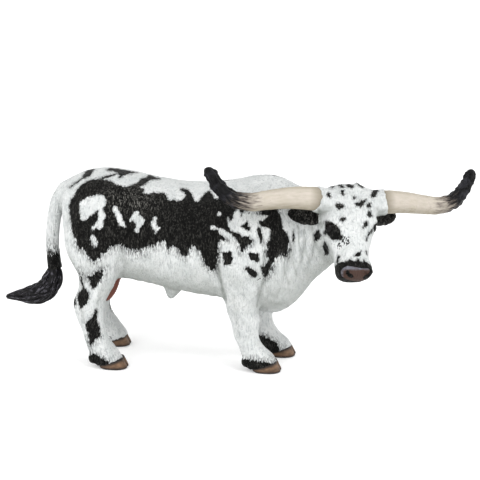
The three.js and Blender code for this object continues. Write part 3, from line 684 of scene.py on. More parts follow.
def sculpt(points, quads):
    # Raises and presses the skin along its normals; returns it with the depth of its hollows, where painted
    # shade goes
    normals = surfaceNormals(points, quads)
    inHead = toHead(points)
    headX, headY, headZ = inHead.T
    onHead = (headZ < relief["headTop"]) & (headX > relief["headBack"]) & (np.abs(headY) < relief["headHalf"])
    height = np.zeros(len(points))
    hollow = np.zeros(len(points))
    for forms, place in ((bodyForms, points), (neckForms, points), (headForms, inHead)):
        for path, reach, amount in forms:
            for line in (path, mirrored(path, -1)):
                share = crease(place, line, reach) * amount
                share = np.where(onHead, share, 0) if forms is headForms else share
                height += share
                hollow = np.maximum(hollow, -share if reach < skin["creaseReach"] else 0)
    front = np.clip((normals @ headTurn)[:, 0], 0, 1)
    for side in (-1, 1):
        socket = lump(inHead, np.multiply(eyes["at"], (1, side, 1)), eyes["socketReach"])
        height -= eyes["socketDepth"] * socket * onHead
        height -= earCup["depth"] * crease(inHead, mirrored(earCup["path"], side), earCup["reach"]) * front
    lines = sum(grain(points, size, seed) * amount for size, seed, amount in relief["hair"])
    tufts = sum(grain(inHead, size, seed) * amount for size, seed, amount in relief["tufts"])
    feet = np.clip((points[:, 2] - relief["feetFrom"]) / relief["feetOver"], relief["feetLeast"], 1)
    poll = np.clip((headZ - relief["pollFrom"]) / relief["pollOver"], 0, 1)
    poll *= onHead * (headX > relief["pollBack"])
    height += lines * feet * np.where(onHead, relief["face"], 1) + tufts * poll
    hollow = hollow + np.clip(-tufts * poll, 0, 1)
    return points + normals * height[:, None], hollow


# Painted marks, outlined on the photo's 480 by 480 frame and carried to the skin through its camera


def outline(*numbers):
    # The corners of a mark, across and down in turn
    return np.array(numbers, float).reshape(-1, 2)


flankPatch = outline(
    77, 190, 75.4, 194, 71.5, 199.5, 69, 206, 70, 215, 71, 222, 72, 230, 73.5, 236, 76, 239.5, 77.5, 245,
    79.5, 250, 83, 249, 86, 253, 89, 256, 91, 259.5, 93, 261.5, 97, 259.5, 99.5, 257.5, 102, 254, 107, 251,
    110, 247.5, 115, 245.5, 119, 244.5, 124, 246, 128, 248, 133, 250, 138, 251, 142, 250.5, 145, 248,
    150, 246, 155, 245, 160, 241, 165, 240.5, 167, 245, 169, 250, 171, 246.5, 175, 246, 179, 249, 181, 254,
    185, 257, 188, 254, 190, 248, 192, 245.5, 197, 249, 200, 251, 202, 257, 205, 263, 209, 269, 213, 271,
    216, 268, 218, 262, 218.5, 252, 218, 240, 228, 240, 224, 237.5, 220, 234, 217, 230, 210, 229.5, 210, 226,
    213, 225, 217, 227.5, 222, 228.2, 227, 231, 232, 234.5, 236, 238, 239, 243, 240, 248, 241, 252.5,
    245, 250, 247, 246, 250, 243.5, 253, 241, 250, 239.5, 249, 236.5, 246, 236.5, 242, 237, 240, 234,
    234, 232.5, 230, 229, 228, 226, 227, 221, 227.5, 217, 228.5, 216, 230, 221, 233, 218, 234, 213, 236, 209,
    240, 209, 244, 211, 241, 216, 243, 205, 238, 200, 226, 196, 219.5, 197, 217, 199.5, 214.5, 199.5,
    213, 196, 211, 192, 210, 190, 208, 191.5, 205, 193.5, 202, 197, 200, 199.5, 198, 202, 196.5, 203,
    194, 200.5, 193, 198, 192, 194.5, 190, 191.5, 187, 189, 183, 188.5, 180, 188.5, 180, 190, 184, 192,
    186, 195, 185, 198, 181, 200.5, 176, 201.5, 174, 199.5, 170, 200.5, 168, 201, 167, 198, 166, 194.5,
    164, 193, 157, 193, 152, 192.8, 148, 194.5, 143, 193, 144, 190, 143, 188.5, 139, 187.2, 141, 186.5,
    145, 184, 148, 181.5, 151, 179.5, 160, 179, 160, 178, 156, 177.5, 152, 175.5, 149, 174.5, 147, 177,
    143, 178, 140, 180, 138, 182.5, 135, 184, 130, 186, 125, 187, 120, 186, 116, 184.5, 112, 182, 108, 180,
    103, 179.5, 98, 179, 92, 179.7, 88, 181, 84, 183, 80, 186.5
)
hookedSpot = outline(
    79, 202.5, 83, 199.5, 88, 197, 92, 195.7, 97, 194.7, 102, 194.5, 104.5, 196, 106, 200, 106, 205,
    103.5, 207.5, 103.5, 210.5, 106, 215, 106.3, 217.5, 103.8, 220.5, 103.5, 226, 101.5, 228, 99, 229.8,
    97, 228, 94.5, 229.8, 92, 230, 91.5, 233, 90.7, 232, 90.5, 228, 93, 225.5, 96, 222.5, 98, 218, 98, 211,
    96, 211, 95, 213.5, 90, 216.5, 86.5, 220, 84, 221.2, 80.5, 220, 80, 215, 79, 208
)
lowerSpot = outline(
    91.5, 234.8, 94.5, 235, 96, 238.5, 97.5, 243, 96.5, 247.8, 93.5, 247, 91.8, 245, 91.2, 241, 90, 240.3,
    90.5, 236
)
slashSpot = outline(
    112, 209.5, 113, 206.5, 115.5, 205.5, 117, 206.5, 118.5, 209.5, 121, 213, 122.5, 218, 124.5, 222,
    126.5, 227.3, 124.5, 227.3, 123, 226.2, 121, 227, 119, 225, 117, 220.5, 115.5, 217, 114, 213
)
middleSpot = outline(
    135, 211, 138, 211, 139.5, 214.5, 142, 216, 145, 219, 144, 223, 141.5, 226.5, 139.5, 227.5, 139, 232.5,
    136.5, 233, 133.7, 231, 134.5, 228.5, 136, 227, 135.5, 223.5, 133, 221, 131, 222, 129.5, 220.5, 131, 217,
    133, 214
)
narrowSpot = outline(
    155, 216, 157, 217, 156.5, 221, 157, 225, 158, 227, 160, 227.3, 159, 229.5, 157, 231.5, 156, 234.5,
    154.5, 233.5, 154.5, 230.5, 152, 228, 150.3, 225, 152, 221.5, 153, 218
)
roundSpot = outline(
    217, 213.4, 218.4, 211.6, 220.6, 211.8, 221.8, 213.8, 221, 216.2, 218.6, 216.6, 217.2, 215.4
)
spineMarks = [
    outline(
        94.5, 169.3, 90, 169.3, 86, 171, 84, 174, 82.5, 176, 83, 178, 79.5, 179, 78, 181, 74, 183.5, 71, 186,
        68.3, 187.6, 70, 188, 74, 185, 78, 182.5, 81, 179.7, 86, 177.5, 90, 175.8, 92, 172.5
    ),
    outline(
        106.5, 169.8, 108, 168.5, 112, 167.5, 118, 168.4, 124, 169.6, 130, 170.9, 138, 172.3, 134, 173,
        128, 174, 123, 176, 120.5, 178, 118.5, 177.8, 119.5, 175.5, 119, 174, 117, 172.7, 113, 171, 108, 171
    ),
    outline(
        118, 172.5, 114, 174, 110, 175, 105, 176.5, 98, 179, 103, 179.5, 107, 177.5, 112, 176.5, 116, 173.8
    ),
]
shoulderMarks = [
    outline(
        240.5, 226.5, 244, 224.5, 247, 221.5, 248, 222.5, 248, 226, 250.5, 227.5, 250, 230.5, 248, 230.5,
        244, 228.5
    ),
    outline(
        257.5, 227.5, 259, 227.5, 261, 230, 262.5, 235, 262.5, 239, 261, 244, 260, 243, 259.5, 239, 258, 236,
        256.8, 230
    ),
    outline(
        259, 221.5, 264, 220.5, 266, 218.5, 268.5, 216, 271, 214.5, 273, 211, 275, 209.5, 278, 212.5,
        280, 214.5, 281, 218, 282, 224, 283, 230, 286, 232, 288.5, 236.5, 289, 243, 288.5, 248, 287, 257,
        285, 253.5, 283, 256.5, 281, 254, 278, 257.5, 275.5, 259, 273.5, 262, 272, 266, 271.5, 271.5,
        270.5, 268, 268, 275, 265, 277.5, 263, 275, 262, 270, 261, 266.5, 264, 265.5, 266.5, 263, 269, 259.5,
        267, 257, 266, 252, 268, 247, 266.5, 244.5, 269.5, 240, 270.5, 235, 270.5, 228.5, 266, 227.5,
        261, 226, 259.5, 224
    ),
    outline(
        248, 254, 250, 252.5, 256, 253.5, 258, 252.5, 259, 257, 259, 260.5, 256.5, 262.5, 253.5, 260.5,
        250.5, 260, 249.5, 257
    ),
    outline(
        244.5, 270, 246.5, 267, 248.5, 266, 250, 268.5, 254, 270, 256.5, 272.5, 257.5, 275, 255.5, 277.5,
        251.5, 276.5, 248, 273, 246.5, 270.5
    ),
    outline(
        218.5, 252, 224, 252.5, 228, 252.5, 230, 250.5, 231.5, 252, 231.5, 256, 233.5, 258.5, 231.5, 261,
        231.5, 264.5, 227, 265, 224, 265, 223.5, 259, 223, 254
    ),
    outline(292.6, 230, 293.6, 232, 294, 238, 293.6, 242.5, 292.8, 241, 292.6, 236),
    outline(289.3, 249, 290.6, 249, 290.8, 251, 289.4, 251),
]
hindLegMarks = [
    outline(
        104, 268.8, 102, 269, 100, 271, 95.5, 272, 93, 274, 90, 276, 88, 276, 86, 278, 88.5, 278, 89.5, 281,
        90.5, 285, 92, 288.5, 94.5, 288.5, 96.5, 286, 98, 283, 100, 280.5, 102, 275
    ),
    outline(
        79, 271, 80, 275, 82, 279, 83, 285, 84, 288, 86, 290, 88.5, 293, 89, 298, 87, 302.5, 84, 306,
        81, 309.5, 79, 306, 77.5, 300, 77.7, 295, 79.5, 292, 82.5, 289, 82, 284, 80.5, 278, 79, 273.5
    ),
    outline(75.5, 297.5, 76, 301, 75.5, 305, 74, 307.5, 73.3, 303, 74, 299),
    outline(
        96, 308, 97, 311, 97, 317, 96.5, 320, 99, 326, 100, 331, 100, 336, 97, 338.5, 94.5, 342, 91.5, 344,
        90, 346.5, 88.8, 342, 88.5, 334, 86.5, 328, 85, 324, 88, 320.5, 92, 317.5, 94, 314
    ),
]
faceMarks = [
    outline(327, 184.6, 330, 184.8, 333.8, 186.4, 333, 188, 330, 187.3),
    outline(336.5, 183.2, 340, 183.6, 343, 185.6, 344.5, 187.5, 343, 188, 339.5, 186.5),
    outline(344, 183.2, 348, 183.8, 353.5, 185.6, 354, 187, 351, 188, 347, 186.2),
    outline(355.5, 182.4, 360, 182.6, 365, 184.4, 365, 186, 362, 188, 359, 186),
    outline(
        371.5, 197.8, 371, 196, 372.5, 192, 373.5, 189.5, 375.5, 189, 378.3, 190.5, 377, 193, 375.5, 196,
        373.5, 197.5
    ),
    outline(326, 195, 328, 193.2, 330, 193, 330.3, 195.5, 331, 197.5, 328.5, 196.8),
    outline(340, 191, 344, 190.5, 344, 192.5, 345.5, 193.5, 343, 196, 341.5, 193.5),
    outline(352.5, 197, 354, 196, 355.3, 198, 354.3, 199.7, 352.8, 198.5),
    outline(
        355, 203.5, 357, 202, 360, 202, 360.5, 200, 363, 200.3, 366, 199.5, 365.3, 202.5, 363, 205, 361, 208,
        359.5, 206.5, 356, 206
    ),
    outline(367, 205, 368.5, 203, 371, 203, 370.8, 206.5, 369, 208, 367, 207),
    outline(
        335, 205, 337.5, 203.2, 341, 203.5, 343.5, 205.5, 343.8, 207, 341, 208.5, 340, 209.8, 337.5, 209.3,
        336.5, 207.3
    ),
    outline(368.5, 211.5, 370.5, 211, 371.5, 215, 372.3, 216.5, 370, 217, 367.3, 215.5),
    outline(364.5, 222, 367, 220.8, 368, 223, 367, 226, 365.5, 227.7, 363.8, 226.5),
    outline(362, 227.4, 363.4, 227.4, 363.6, 229, 362.2, 229),
    outline(340, 219, 342, 217.3, 345, 217.5, 345.5, 219.5, 343, 222.3, 340.5, 221),
    outline(
        324.3, 221.3, 328, 221.3, 332, 222.3, 335.5, 224.5, 338.5, 227, 340.5, 230, 341, 234, 342.5, 237,
        341, 240.5, 338, 239.5, 334.5, 240, 331, 239.5, 329, 236.5, 326.5, 233.5, 324.3, 236, 323.5, 232.5,
        325.5, 229, 325, 225
    ),
    outline(
        374.9, 225.4, 375.4, 226.4, 373, 230, 370.6, 233.6, 368.6, 236.8, 366.9, 240.6, 365.9, 240.2,
        367.6, 235.6, 369.6, 232.2, 372, 229
    ),
    outline(354, 255.5, 357, 253, 361, 251, 360.3, 254, 359.5, 256, 356.5, 256.5),
    outline(365.3, 251.3, 367, 252.3, 366.8, 254.5, 365.9, 253.5),
    outline(339.5, 256, 338, 256, 337, 258, 336.8, 263.5, 338.3, 263.5, 338.3, 259, 340.5, 257),
]
cheekMarks = [
    outline(316, 231, 319, 230, 320, 234.5, 322, 235, 320, 238, 317, 241, 314, 240.5, 314, 236),
    outline(324, 242, 326, 242.5, 328, 247, 329, 251, 328, 254.5, 325, 255, 323.5, 251, 323, 246),
]
muzzleRing = outline(
    335, 266, 337.5, 264, 341, 262, 346, 261.5, 348.5, 260.5, 350, 259.5, 353, 260.5, 354.5, 262,
    356.5, 261.5, 357, 258.5, 358.5, 258.5, 359, 261.5, 363, 262, 364.3, 259.3, 365.3, 262, 369, 263,
    371, 266, 378, 268, 378, 292, 328, 292, 330, 266
)
nosePad = outline(
    341, 270.5, 343, 268, 347.5, 266, 352, 266.5, 357, 267.5, 363, 268.5, 369, 268.5, 370, 271.5, 366.5, 276,
    364, 280, 359, 281.5, 353, 281, 347, 279.5, 342, 276.5, 341, 273.5
)
nostrilMarks = [
    outline(
        345.8, 269.8, 348.4, 270, 349.8, 273, 352.4, 274.4, 353.8, 276.8, 351.4, 278.2, 348, 276.8,
        346, 273.8
    ),
    outline(362.4, 277.6, 365.8, 274.6, 370, 273.6, 370, 276, 364.6, 280),
]
# Painted shade in the folds, a grey wash darkest along each fold: [path on the frame, reach in pixels,
# strength]
foldShadeLines = [
    ([(311, 222), (313, 236), (318, 250), (327, 261)], 3.0, 0.6),
    ([(319, 209), (320.5, 217), (321, 227)], 2.2, 0.85),
    ([(217.5, 264), (221, 281), (224, 299)], 1.3, 1.0),
    ([(258.5, 288), (258, 300), (257.5, 313)], 1.5, 0.55),
    ([(122, 252), (126, 262), (124, 271), (121, 280)], 2.4, 0.35),
    ([(219, 252), (219.5, 266), (221, 280)], 1.6, 0.5),
    ([(262, 284), (268, 292), (277, 297)], 1.5, 0.3),
    ([(262, 296), (270, 303), (281, 305)], 1.6, 0.3),
    ([(274, 278), (281, 288), (290, 290)], 1.4, 0.25),
    ([(298, 226), (299, 244), (303, 262)], 1.1, 0.65),
    ([(304, 230), (305, 248), (310, 264)], 1.1, 0.65),
    ([(291, 246), (293, 262), (297, 276)], 1.2, 0.65),
    ([(284, 262), (285, 274), (289, 284)], 1.2, 0.65),
    ([(72, 262), (76, 277), (80, 284)], 1.6, 0.35),
    ([(104, 282), (99, 296), (97, 306)], 1.6, 0.35),
    ([(318, 226), (322, 236), (331, 250), (334, 262)], 1.2, 0.45),
    ([(341, 262), (338, 270), (339, 277)], 1.2, 0.4),
]
# Flecks of black off the brush: (middle on the frame, reach in pixels, density)
flecks = [
    ((346, 241), 8, 1.0), ((340, 246), 6, 0.9), ((334, 243), 4, 0.8), ((258, 280), 7, 0.6),
    ((268, 279), 5, 0.6), ((111, 338), 5, 0.75), ((133, 253), 7, 0.5), ((91, 262), 5, 0.5),
    ((274, 347), 5, 0.6), ((294, 250), 5, 0.4), ((100, 177), 8, 0.35), ((172, 191), 7, 0.55),
    ((186, 196), 5, 0.6), ((180, 255), 6, 0.5), ((207, 262), 6, 0.5), ((196, 208), 9, 0.3),
    ((241, 219), 6, 0.5), ((316, 246), 5, 0.3), ((95, 306), 5, 0.4), ((84, 316), 5, 0.4),
]
farPixels = 24.0  # distance given to what lies away from a mark
nearPixels = 12.0  # how far round a mark its distance is worked out
farMm = 9.0
whiteSpots = [hookedSpot, lowerSpot, slashSpot, middleSpot, narrowSpot, roundSpot]
# The left side wears the right side's patches turned end for end: x = start - shrink (x - about), drawn lower
leftCoat = {"start": -24.0, "shrink": 0.94, "about": -4.0, "lower": 1.5, "spine": 2.5}
# Where the paints stop, in body millimetres, and those of head and face in the head's own frame
limits = {
    "patchLow": 33.0, "brushLow": 34.0, "tailRoot": -76.0, "chest": 42.0, "feet": 18.0,
    "farLeg": 14.0, "farLegShift": (2.0, 0.0, -3.0),
    "tailFront": -75.5, "tailTop": 62.0, "tailHalf": 4.4, "tailBlack": 51.5,
    "headTop": 9.0, "headBack": -17.0, "headHalf": 34.0, "cheekBack": -30.0,
    "faceBack": -13.0, "faceSlope": 1.2, "faceTurn": 8.0,
    "chinBack": -9.0, "chinTop": -30.0, "chinLine": 34.4, "chinSlope": 0.12,
    "padTop": -28.0, "padBack": -14.0,
}
# The hair over a hoof: its ends' grain, and the room round the hoof that it may take up
hoofFringe = {
    "cells": (1.3, 1.3, 1.8), "seed": 9, "grain": 0.8, "heel": 8.0, "length": 14.5, "curve": 0.7,
    "half": 9.0, "behind": 3.0, "reach": 14.0, "top": 22.0,
}
earPaint = {"from": 13.6, "behind": -24.0, "steps": 50, "thick": 0.7, "tall": 0.8}
# Lengths of the black's brushed edges in millimetres, and their places on the photo's frame
brushed = {
    "plain": 0.4, "flank": 1.5, "ribs": 1.9, "bar": 1.5, "tail": 6.0, "feet": 1.7,
    "below": 236.0, "flankOver": 8.0, "barOver": 10.0, "ribsAt": 140.0, "ribsReach": 24.0,
    "barFrom": 262.0, "barTo": 290.0, "sideFrom": 8.0, "sideOver": 6.0,
}
# Strengths of the painted shade, as a grey wash in the hollows and as shade under the belly, of the grey
# brushed over the black, which also stands in for painted highlights, and of the painted highlight on the
# nose pad
rubbed = {
    "deepest": 1.4, "hollow": 0.6, "facing": -0.1, "bellyFrom": 26.0, "bellyOver": 8.0,
    "dry": 0.22, "dryHip": 0.7, "hipAt": (128.0, 199.0), "hipReach": (30.0, 18.0),
    "dryNeck": 0.6, "neckFrom": 286.0, "neckAbove": 228.0,
    "padTop": 270.2, "padLeft": 343.4, "padOver": 2.0, "padMost": 0.8,
}


def insideDistance(pixels, corners):
    # Signed distance to a closed outline in pixels, negative inside by the even-odd rule
    near = np.all((pixels > corners.min(0) - nearPixels) & (pixels < corners.max(0) + nearPixels), 1)
    p = pixels[near]
    closed = np.concatenate([corners, corners[:1]])
    inside = np.zeros(len(p), bool)
    for a, b in zip(closed[:-1], closed[1:]):
        crosses = (a[1] > p[:, 1]) != (b[1] > p[:, 1])
        rise = b[1] - a[1] if abs(b[1] - a[1]) > 1e-9 else 1e-9
        inside ^= crosses & (p[:, 0] < a[0] + (p[:, 1] - a[1]) * (b[0] - a[0]) / rise)
    distance = lineDistance(p, closed)
    result = np.full(len(pixels), farPixels)
    result[near] = np.where(inside, -distance, distance)
    return result


def nearest(pixels, marks):
    # The least of the signed distances to several outlines
    return np.min([insideDistance(pixels, corners) for corners in marks], axis=0, initial=farPixels)


def flankDistance(pixels):
    # Distance to the patch less its white spots, max(patch, -spots), and to the small marks round it
    patch = np.maximum(insideDistance(pixels, flankPatch), -nearest(pixels, whiteSpots))
    return patch, nearest(pixels, spineMarks + shoulderMarks)


def earDistance(inHead):
    # Distance outside the ear's flattened tube: the larger of its excess in thickness and in height
    total = np.full(len(inHead), farMm)
    for side in (-1, 1):
        near = (inHead[:, 1] * side > earPaint["from"]) & (inHead[:, 0] > earPaint["behind"])
        row = between(mirrored(earRows, side), np.linspace(0, len(earRows) - 1, earPaint["steps"]))
        along, across, up = lineAxes(row[:, :3], np.array([0.0, 0, 1]))
        offset = inHead[near][:, None] - row[None, :, :3]
        best = np.argmin(np.linalg.norm(offset, axis=2), 1)
        own = offset[np.arange(len(best)), best]
        thick = np.abs(np.sum(own * across[best], 1)) - row[best, 3] - earPaint["thick"]
        tall = np.abs(np.sum(own * up[best], 1)) - row[best, 5] - earPaint["tall"]
        total[near] = np.maximum(thick, tall)
    return total


def hoofHair(points, leg):
    # Black hair at the back of the hoof: height over the coronet less h (1 - s / end)^0.7 along its length
    height, end = leg["hair"]
    hoofX, hoofY = hoofMiddle(leg)
    x, y = points[:, 0] - hoofX, points[:, 1] - hoofY
    share = np.clip((x + hoofFringe["heel"]) / hoofFringe["length"], 0, 1)
    band = coronetHeight(points, hoofX) - height * np.clip(1 - share / end, 0, 1) ** hoofFringe["curve"]
    band = np.maximum(band, (share - end) * hoofFringe["length"])
    near = (np.abs(y) < hoofFringe["half"]) & (np.abs(x + hoofFringe["behind"]) < hoofFringe["reach"])
    return np.where(near & (points[:, 2] < hoofFringe["top"]), band, farMm)


def paintBody(points, normals):
    # Distance to the black paint in millimetres, negative in it, and the length of its brushed edge
    perPixel = view["distance"] / view["focalPixels"]
    x, y, z = points.T
    inHead = toHead(points)
    headX, headY, headZ = inHead.T
    onHead = (headZ < limits["headTop"]) & (headX > limits["headBack"]) & (np.abs(headY) < limits["headHalf"])
    pixels = toPhoto(points)
    turnedX = leftCoat["start"] - leftCoat["shrink"] * (x - leftCoat["about"])
    turned = toPhoto(np.stack([turnedX, -y, z + leftCoat["lower"]], 1))
    own = y < leftCoat["spine"]
    onFrames = zip(flankDistance(pixels), flankDistance(turned))
    patch, small = (np.where(own, here, there) * perPixel for here, there in onFrames)
    frameX, frameY = np.where(own[:, None], pixels, turned).T
    offTrunk = (z < limits["patchLow"]) | onHead | (x < limits["tailRoot"])
    black = np.where(offTrunk, farMm, np.minimum(patch, small))
    farLeg = toPhoto(points * (1, -1, 1) + limits["farLegShift"])
    for where, place, marks in (
        (y < 0, pixels, hindLegMarks),
        (y > limits["farLeg"], farLeg, hindLegMarks[1:]),
        (headX > limits["cheekBack"], pixels, cheekMarks),
    ):
        black = np.minimum(black, np.where(where, nearest(place, marks) * perPixel, farMm))
    # the face's marks fade where the head turns from the photo's side; the chin is black below a sloping line
    face = nearest(pixels, faceMarks + [muzzleRing]) * perPixel
    face = np.maximum(face, -limits["faceSlope"] * (headX - limits["faceBack"]))
    face = np.maximum(face, -limits["faceTurn"] * (normals @ cameraAxes()[2]))
    chin = headZ + limits["chinLine"] + limits["chinSlope"] * headX
    onChin = (headZ < limits["chinTop"]) & (headX < limits["chinBack"])
    face = np.minimum(face, np.where(onChin, chin, farMm))
    black = np.where(onHead, np.minimum(black, face), black)
    black = np.minimum(black, earDistance(inHead))
    ends = grain(points, hoofFringe["cells"], hoofFringe["seed"]) * hoofFringe["grain"]
    for leg in legs.values():
        black = np.minimum(black, hoofHair(points, leg) + ends)
    onTail = (x < limits["tailFront"]) & (z < limits["tailTop"]) & (np.abs(y) < limits["tailHalf"])
    black = np.minimum(black, np.where(onTail, z - limits["tailBlack"], farMm))
    # the flank's lower edge is brushed out longest over the ribs, the shoulder's bar at its lower end
    ribs = np.exp(-(((frameX - brushed["ribsAt"]) / brushed["ribsReach"]) ** 2))
    low = np.clip((frameY - brushed["below"]) / brushed["flankOver"], 0, 1)
    low *= np.clip((np.abs(y) - brushed["sideFrom"]) / brushed["sideOver"], 0, 1)
    barLow = np.clip((frameY - brushed["below"]) / brushed["barOver"], 0, 1)
    onTrunk = ~onHead & (z > limits["brushLow"])
    onFlank = onTrunk & (patch < small) & (x < limits["chest"]) & (x > limits["tailRoot"])
    onBar = onTrunk & ~(patch < small) & (frameX > brushed["barFrom"]) & (frameX < brushed["barTo"])
    brush = np.full(len(points), brushed["plain"])
    brush += np.where(onFlank, (brushed["flank"] + brushed["ribs"] * ribs) * low, 0)
    brush += np.where(onBar, brushed["bar"] * barLow, 0)
    brush = np.where(onTail, brushed["tail"], brush)
    return black, np.where(z < limits["feet"], brushed["feet"], brush)


def shadeHighlightsAndFlecks(points, normals, hollow):
    # Painted shade: a grey wash in the hollows and along fold lines exp(-(d / reach)^2) on what faces the
    # photo's side, and painted shade on skin facing down over the belly; flecks; grey brushed over the black
    # of hip and neck, also standing in for painted highlights; a painted highlight along the top and left
    # edge of the nose pad
    pixels = toPhoto(points)
    facing = normals @ cameraAxes()[2] > rubbed["facing"]
    washShade = np.clip(hollow, 0, rubbed["deepest"]) * rubbed["hollow"]
    for path, reach, strength in foldShadeLines:
        washShade = np.maximum(washShade, strength * crease(pixels, path, reach) * facing)
    # painted shade on skin that faces down above the legs: the more it faces down, the darker
    under = np.clip((points[:, 2] - rubbed["bellyFrom"]) / rubbed["bellyOver"], 0, 1)
    speckle = np.zeros(len(points))
    for middle, reach, density in flecks:
        speckle = np.maximum(speckle, density * lump(pixels, middle, reach) * facing)
    # grey dry-brushed over the black, strongest on the hip and neck, also standing in for painted highlights
    fromHip = (pixels - rubbed["hipAt"]) / rubbed["hipReach"]
    dry = rubbed["dry"] + rubbed["dryHip"] * np.exp(-np.sum(fromHip**2, 1))
    onNeck = (pixels[:, 0] > rubbed["neckFrom"]) & (pixels[:, 1] < rubbed["neckAbove"])
    # painted highlight along the top and left edge of the nose pad
    top = np.maximum(rubbed["padTop"] - pixels[:, 1], rubbed["padLeft"] - pixels[:, 0]) / rubbed["padOver"]
    return {
        "washShade": np.clip(washShade, 0, 1),
        "underShade": np.clip(-normals[:, 2], 0, 1) * under,
        "speckle": speckle,
        "dryBrushAndGlints": np.maximum(dry, rubbed["dryNeck"] * onNeck),
        "padTop": np.clip(top, 0, rubbed["padMost"]),
    }


def buildSkin():
    # Shells made one skin, evened, its joins eased and its forms sculpted, then marked for the paints
    points, quads = voxelSkin()
    print("skin voxels", len(points), "points")
    edges = quadEdges(quads)
    points = relaxed(points, edges, skin["evenSteps"], skin["evenShares"])
    # the trunk's joins with neck and legs are eased further than the small forms
    soft = relaxed(points, edges, skin["blendSteps"], skin["blendShares"])
    trunk = np.clip((points[:, 2] - skin["blendLow"]) / skin["blendLowOver"], 0, 1)
    trunk *= np.clip((points[:, 0] - skin["blendTail"]) / skin["blendTailOver"], 0, 1)
    trunk *= np.clip((skin["blendHead"] - toHead(points)[:, 0]) / skin["blendHeadOver"], 0, 1)
    points, hollow = sculpt(points + trunk[:, None] * (soft - points), quads)
    normals = surfaceNormals(points, quads)
    obj = makeObject("skin", points, quads.tolist())
    black, brush = paintBody(points, normals)
    perPixel = view["distance"] / view["focalPixels"]
    pixels, inHead = toPhoto(points), toHead(points)
    front = (inHead[:, 2] < limits["padTop"]) & (inHead[:, 0] > limits["padBack"])
    pad = np.where(front, insideDistance(pixels, nosePad) * perPixel, farMm)
    pad = np.maximum(pad, -nearest(pixels, nostrilMarks) * perPixel)
    bag = np.linalg.norm((points - scrotum["at"]) @ turnMatrix(1, scrotum["lean"]) / scrotum["radii"], axis=1)
    bag = (bag - scrotum["paintRim"]) * scrotum["paintFade"]
    bag = np.where(points[:, 2] < scrotum["paintTop"], bag, farMm)
    marks = {"blackPaint": black, "brushedEdge": brush, "nosePad": pad, "pouch": bag}
    for name, values in (marks | shadeHighlightsAndFlecks(points, normals, hollow)).items():
        setNumber(obj, name, values)
    return obj


skinObject = buildSkin()
print("skin built", len(skinObject.data.polygons), "quads")


# Horns, hooves, eyes and switch

# The horn's shape and its paints, among them painted shade: olive along its edges and darker at its root
horn = {
    "steps": 150, "sides": 40, "startRow": 1.3,
    "gnarl": 0.6, "gnarlCells": (1.9, 1.9, 1.9), "knobCells": (1.0, 1.0, 1.0), "knobs": 0.6,
    "flutes": 7, "flute": 0.5,
    "roughFrom": 26.0, "roughOver": 18.0, "roughLeast": 0.12, "tipEase": 3.0, "grainPitch": 0.05,
    "cream": "#b3ac9f", "creamLight": "#c1b8ae", "creamPatch": "#aea693", "oliveShade": "#8b836e",
    "root": "#777060", "grey": "#5d554f", "black": "#08080a", "blackBrushed": "#34343a",
    "blackFrom": 38.0, "blackWander": 26.0,
}


def buildHorn(side):
    # The horn's tube, moved out by (lattice noise + flutes sin(7 a)) x gnarl, which grows to the tip
    steps, count = horn["steps"], horn["sides"]
    points, faces = lineTube(hornLine(side), steps, count, startAt=horn["startRow"])
    onRings = (steps + 1) * count
    ring = points[:onRings].reshape(steps + 1, count, 3)
    middle = ring.mean(1)
    along = np.concatenate([[0], np.cumsum(np.linalg.norm(np.diff(middle, axis=0), axis=1))])
    out = unit(ring - middle[:, None])
    rough = grain(points[:onRings], horn["gnarlCells"], 11)
    rough = rough + horn["knobs"] * grain(points[:onRings], horn["knobCells"], 12)
    angle = np.arange(count) / count * 2 * np.pi
    rough = rough.reshape(ring.shape[:2]) + np.sin(horn["flutes"] * angle)[None] * horn["flute"]
    share = np.clip((along - horn["roughFrom"]) / horn["roughOver"], horn["roughLeast"], 1)
    share = share * np.clip((along[-1] - along) / horn["tipEase"], 0, 1)
    points[:onRings] = (ring + out * (rough * horn["gnarl"] * share[:, None])[..., None]).reshape(-1, 3)
    obj = makeObject("horn_shell_" + ("right" if side < 0 else "left"), fromHead(points), faces)
    setNumber(obj, "along", np.concatenate([np.repeat(along, count), along[:1], along[-1:]]))
    # rounding, the size of the outward direction's z, places the painted shade at the edges
    setNumber(obj, "rounding", np.concatenate([np.abs(out[..., 2]).ravel(), [0, 0]]))
    # the paint's streaks follow the tube: (cos a, sin a, slow length)
    slow = along * horn["grainPitch"]
    around = np.tile(np.stack([np.cos(angle), np.sin(angle)], 1), (steps + 1, 1))
    lines = np.concatenate([around, np.repeat(slow, count)[:, None]], 1)
    setPlace(obj, "grainLine", np.concatenate([lines, [[0, 0, 0], [0, 0, slow[-1]]]]))
    return obj


hoof = {
    "cleft": 0.2, "cleftWidth": 0.075, "rings": 30, "pointsRound": 160, "squareness": 2.5, "gap": 0.1,
    "brown": "#54402f", "brownLight": "#7d6048", "edge": "#1b120e", "edgeFrom": 0.5, "edgeTo": 1.8,
}
# [height over the sole, heel, toe, half width] as in the solids, with a rounded lower edge
hoofRows = [
    [0, 5.3, 6.1, 4.7],
    [0.12, 5.9, 6.6, 5.2],
    [0.6, 6.3, 7.1, 5.7],
    [1.8, 6.5, 6.65, 5.65],
    [3, 6.6, 6, 5.5],
    [6, 6.8, 4.5, 5.2],
    [9, 6.8, 3, 4.9],
]


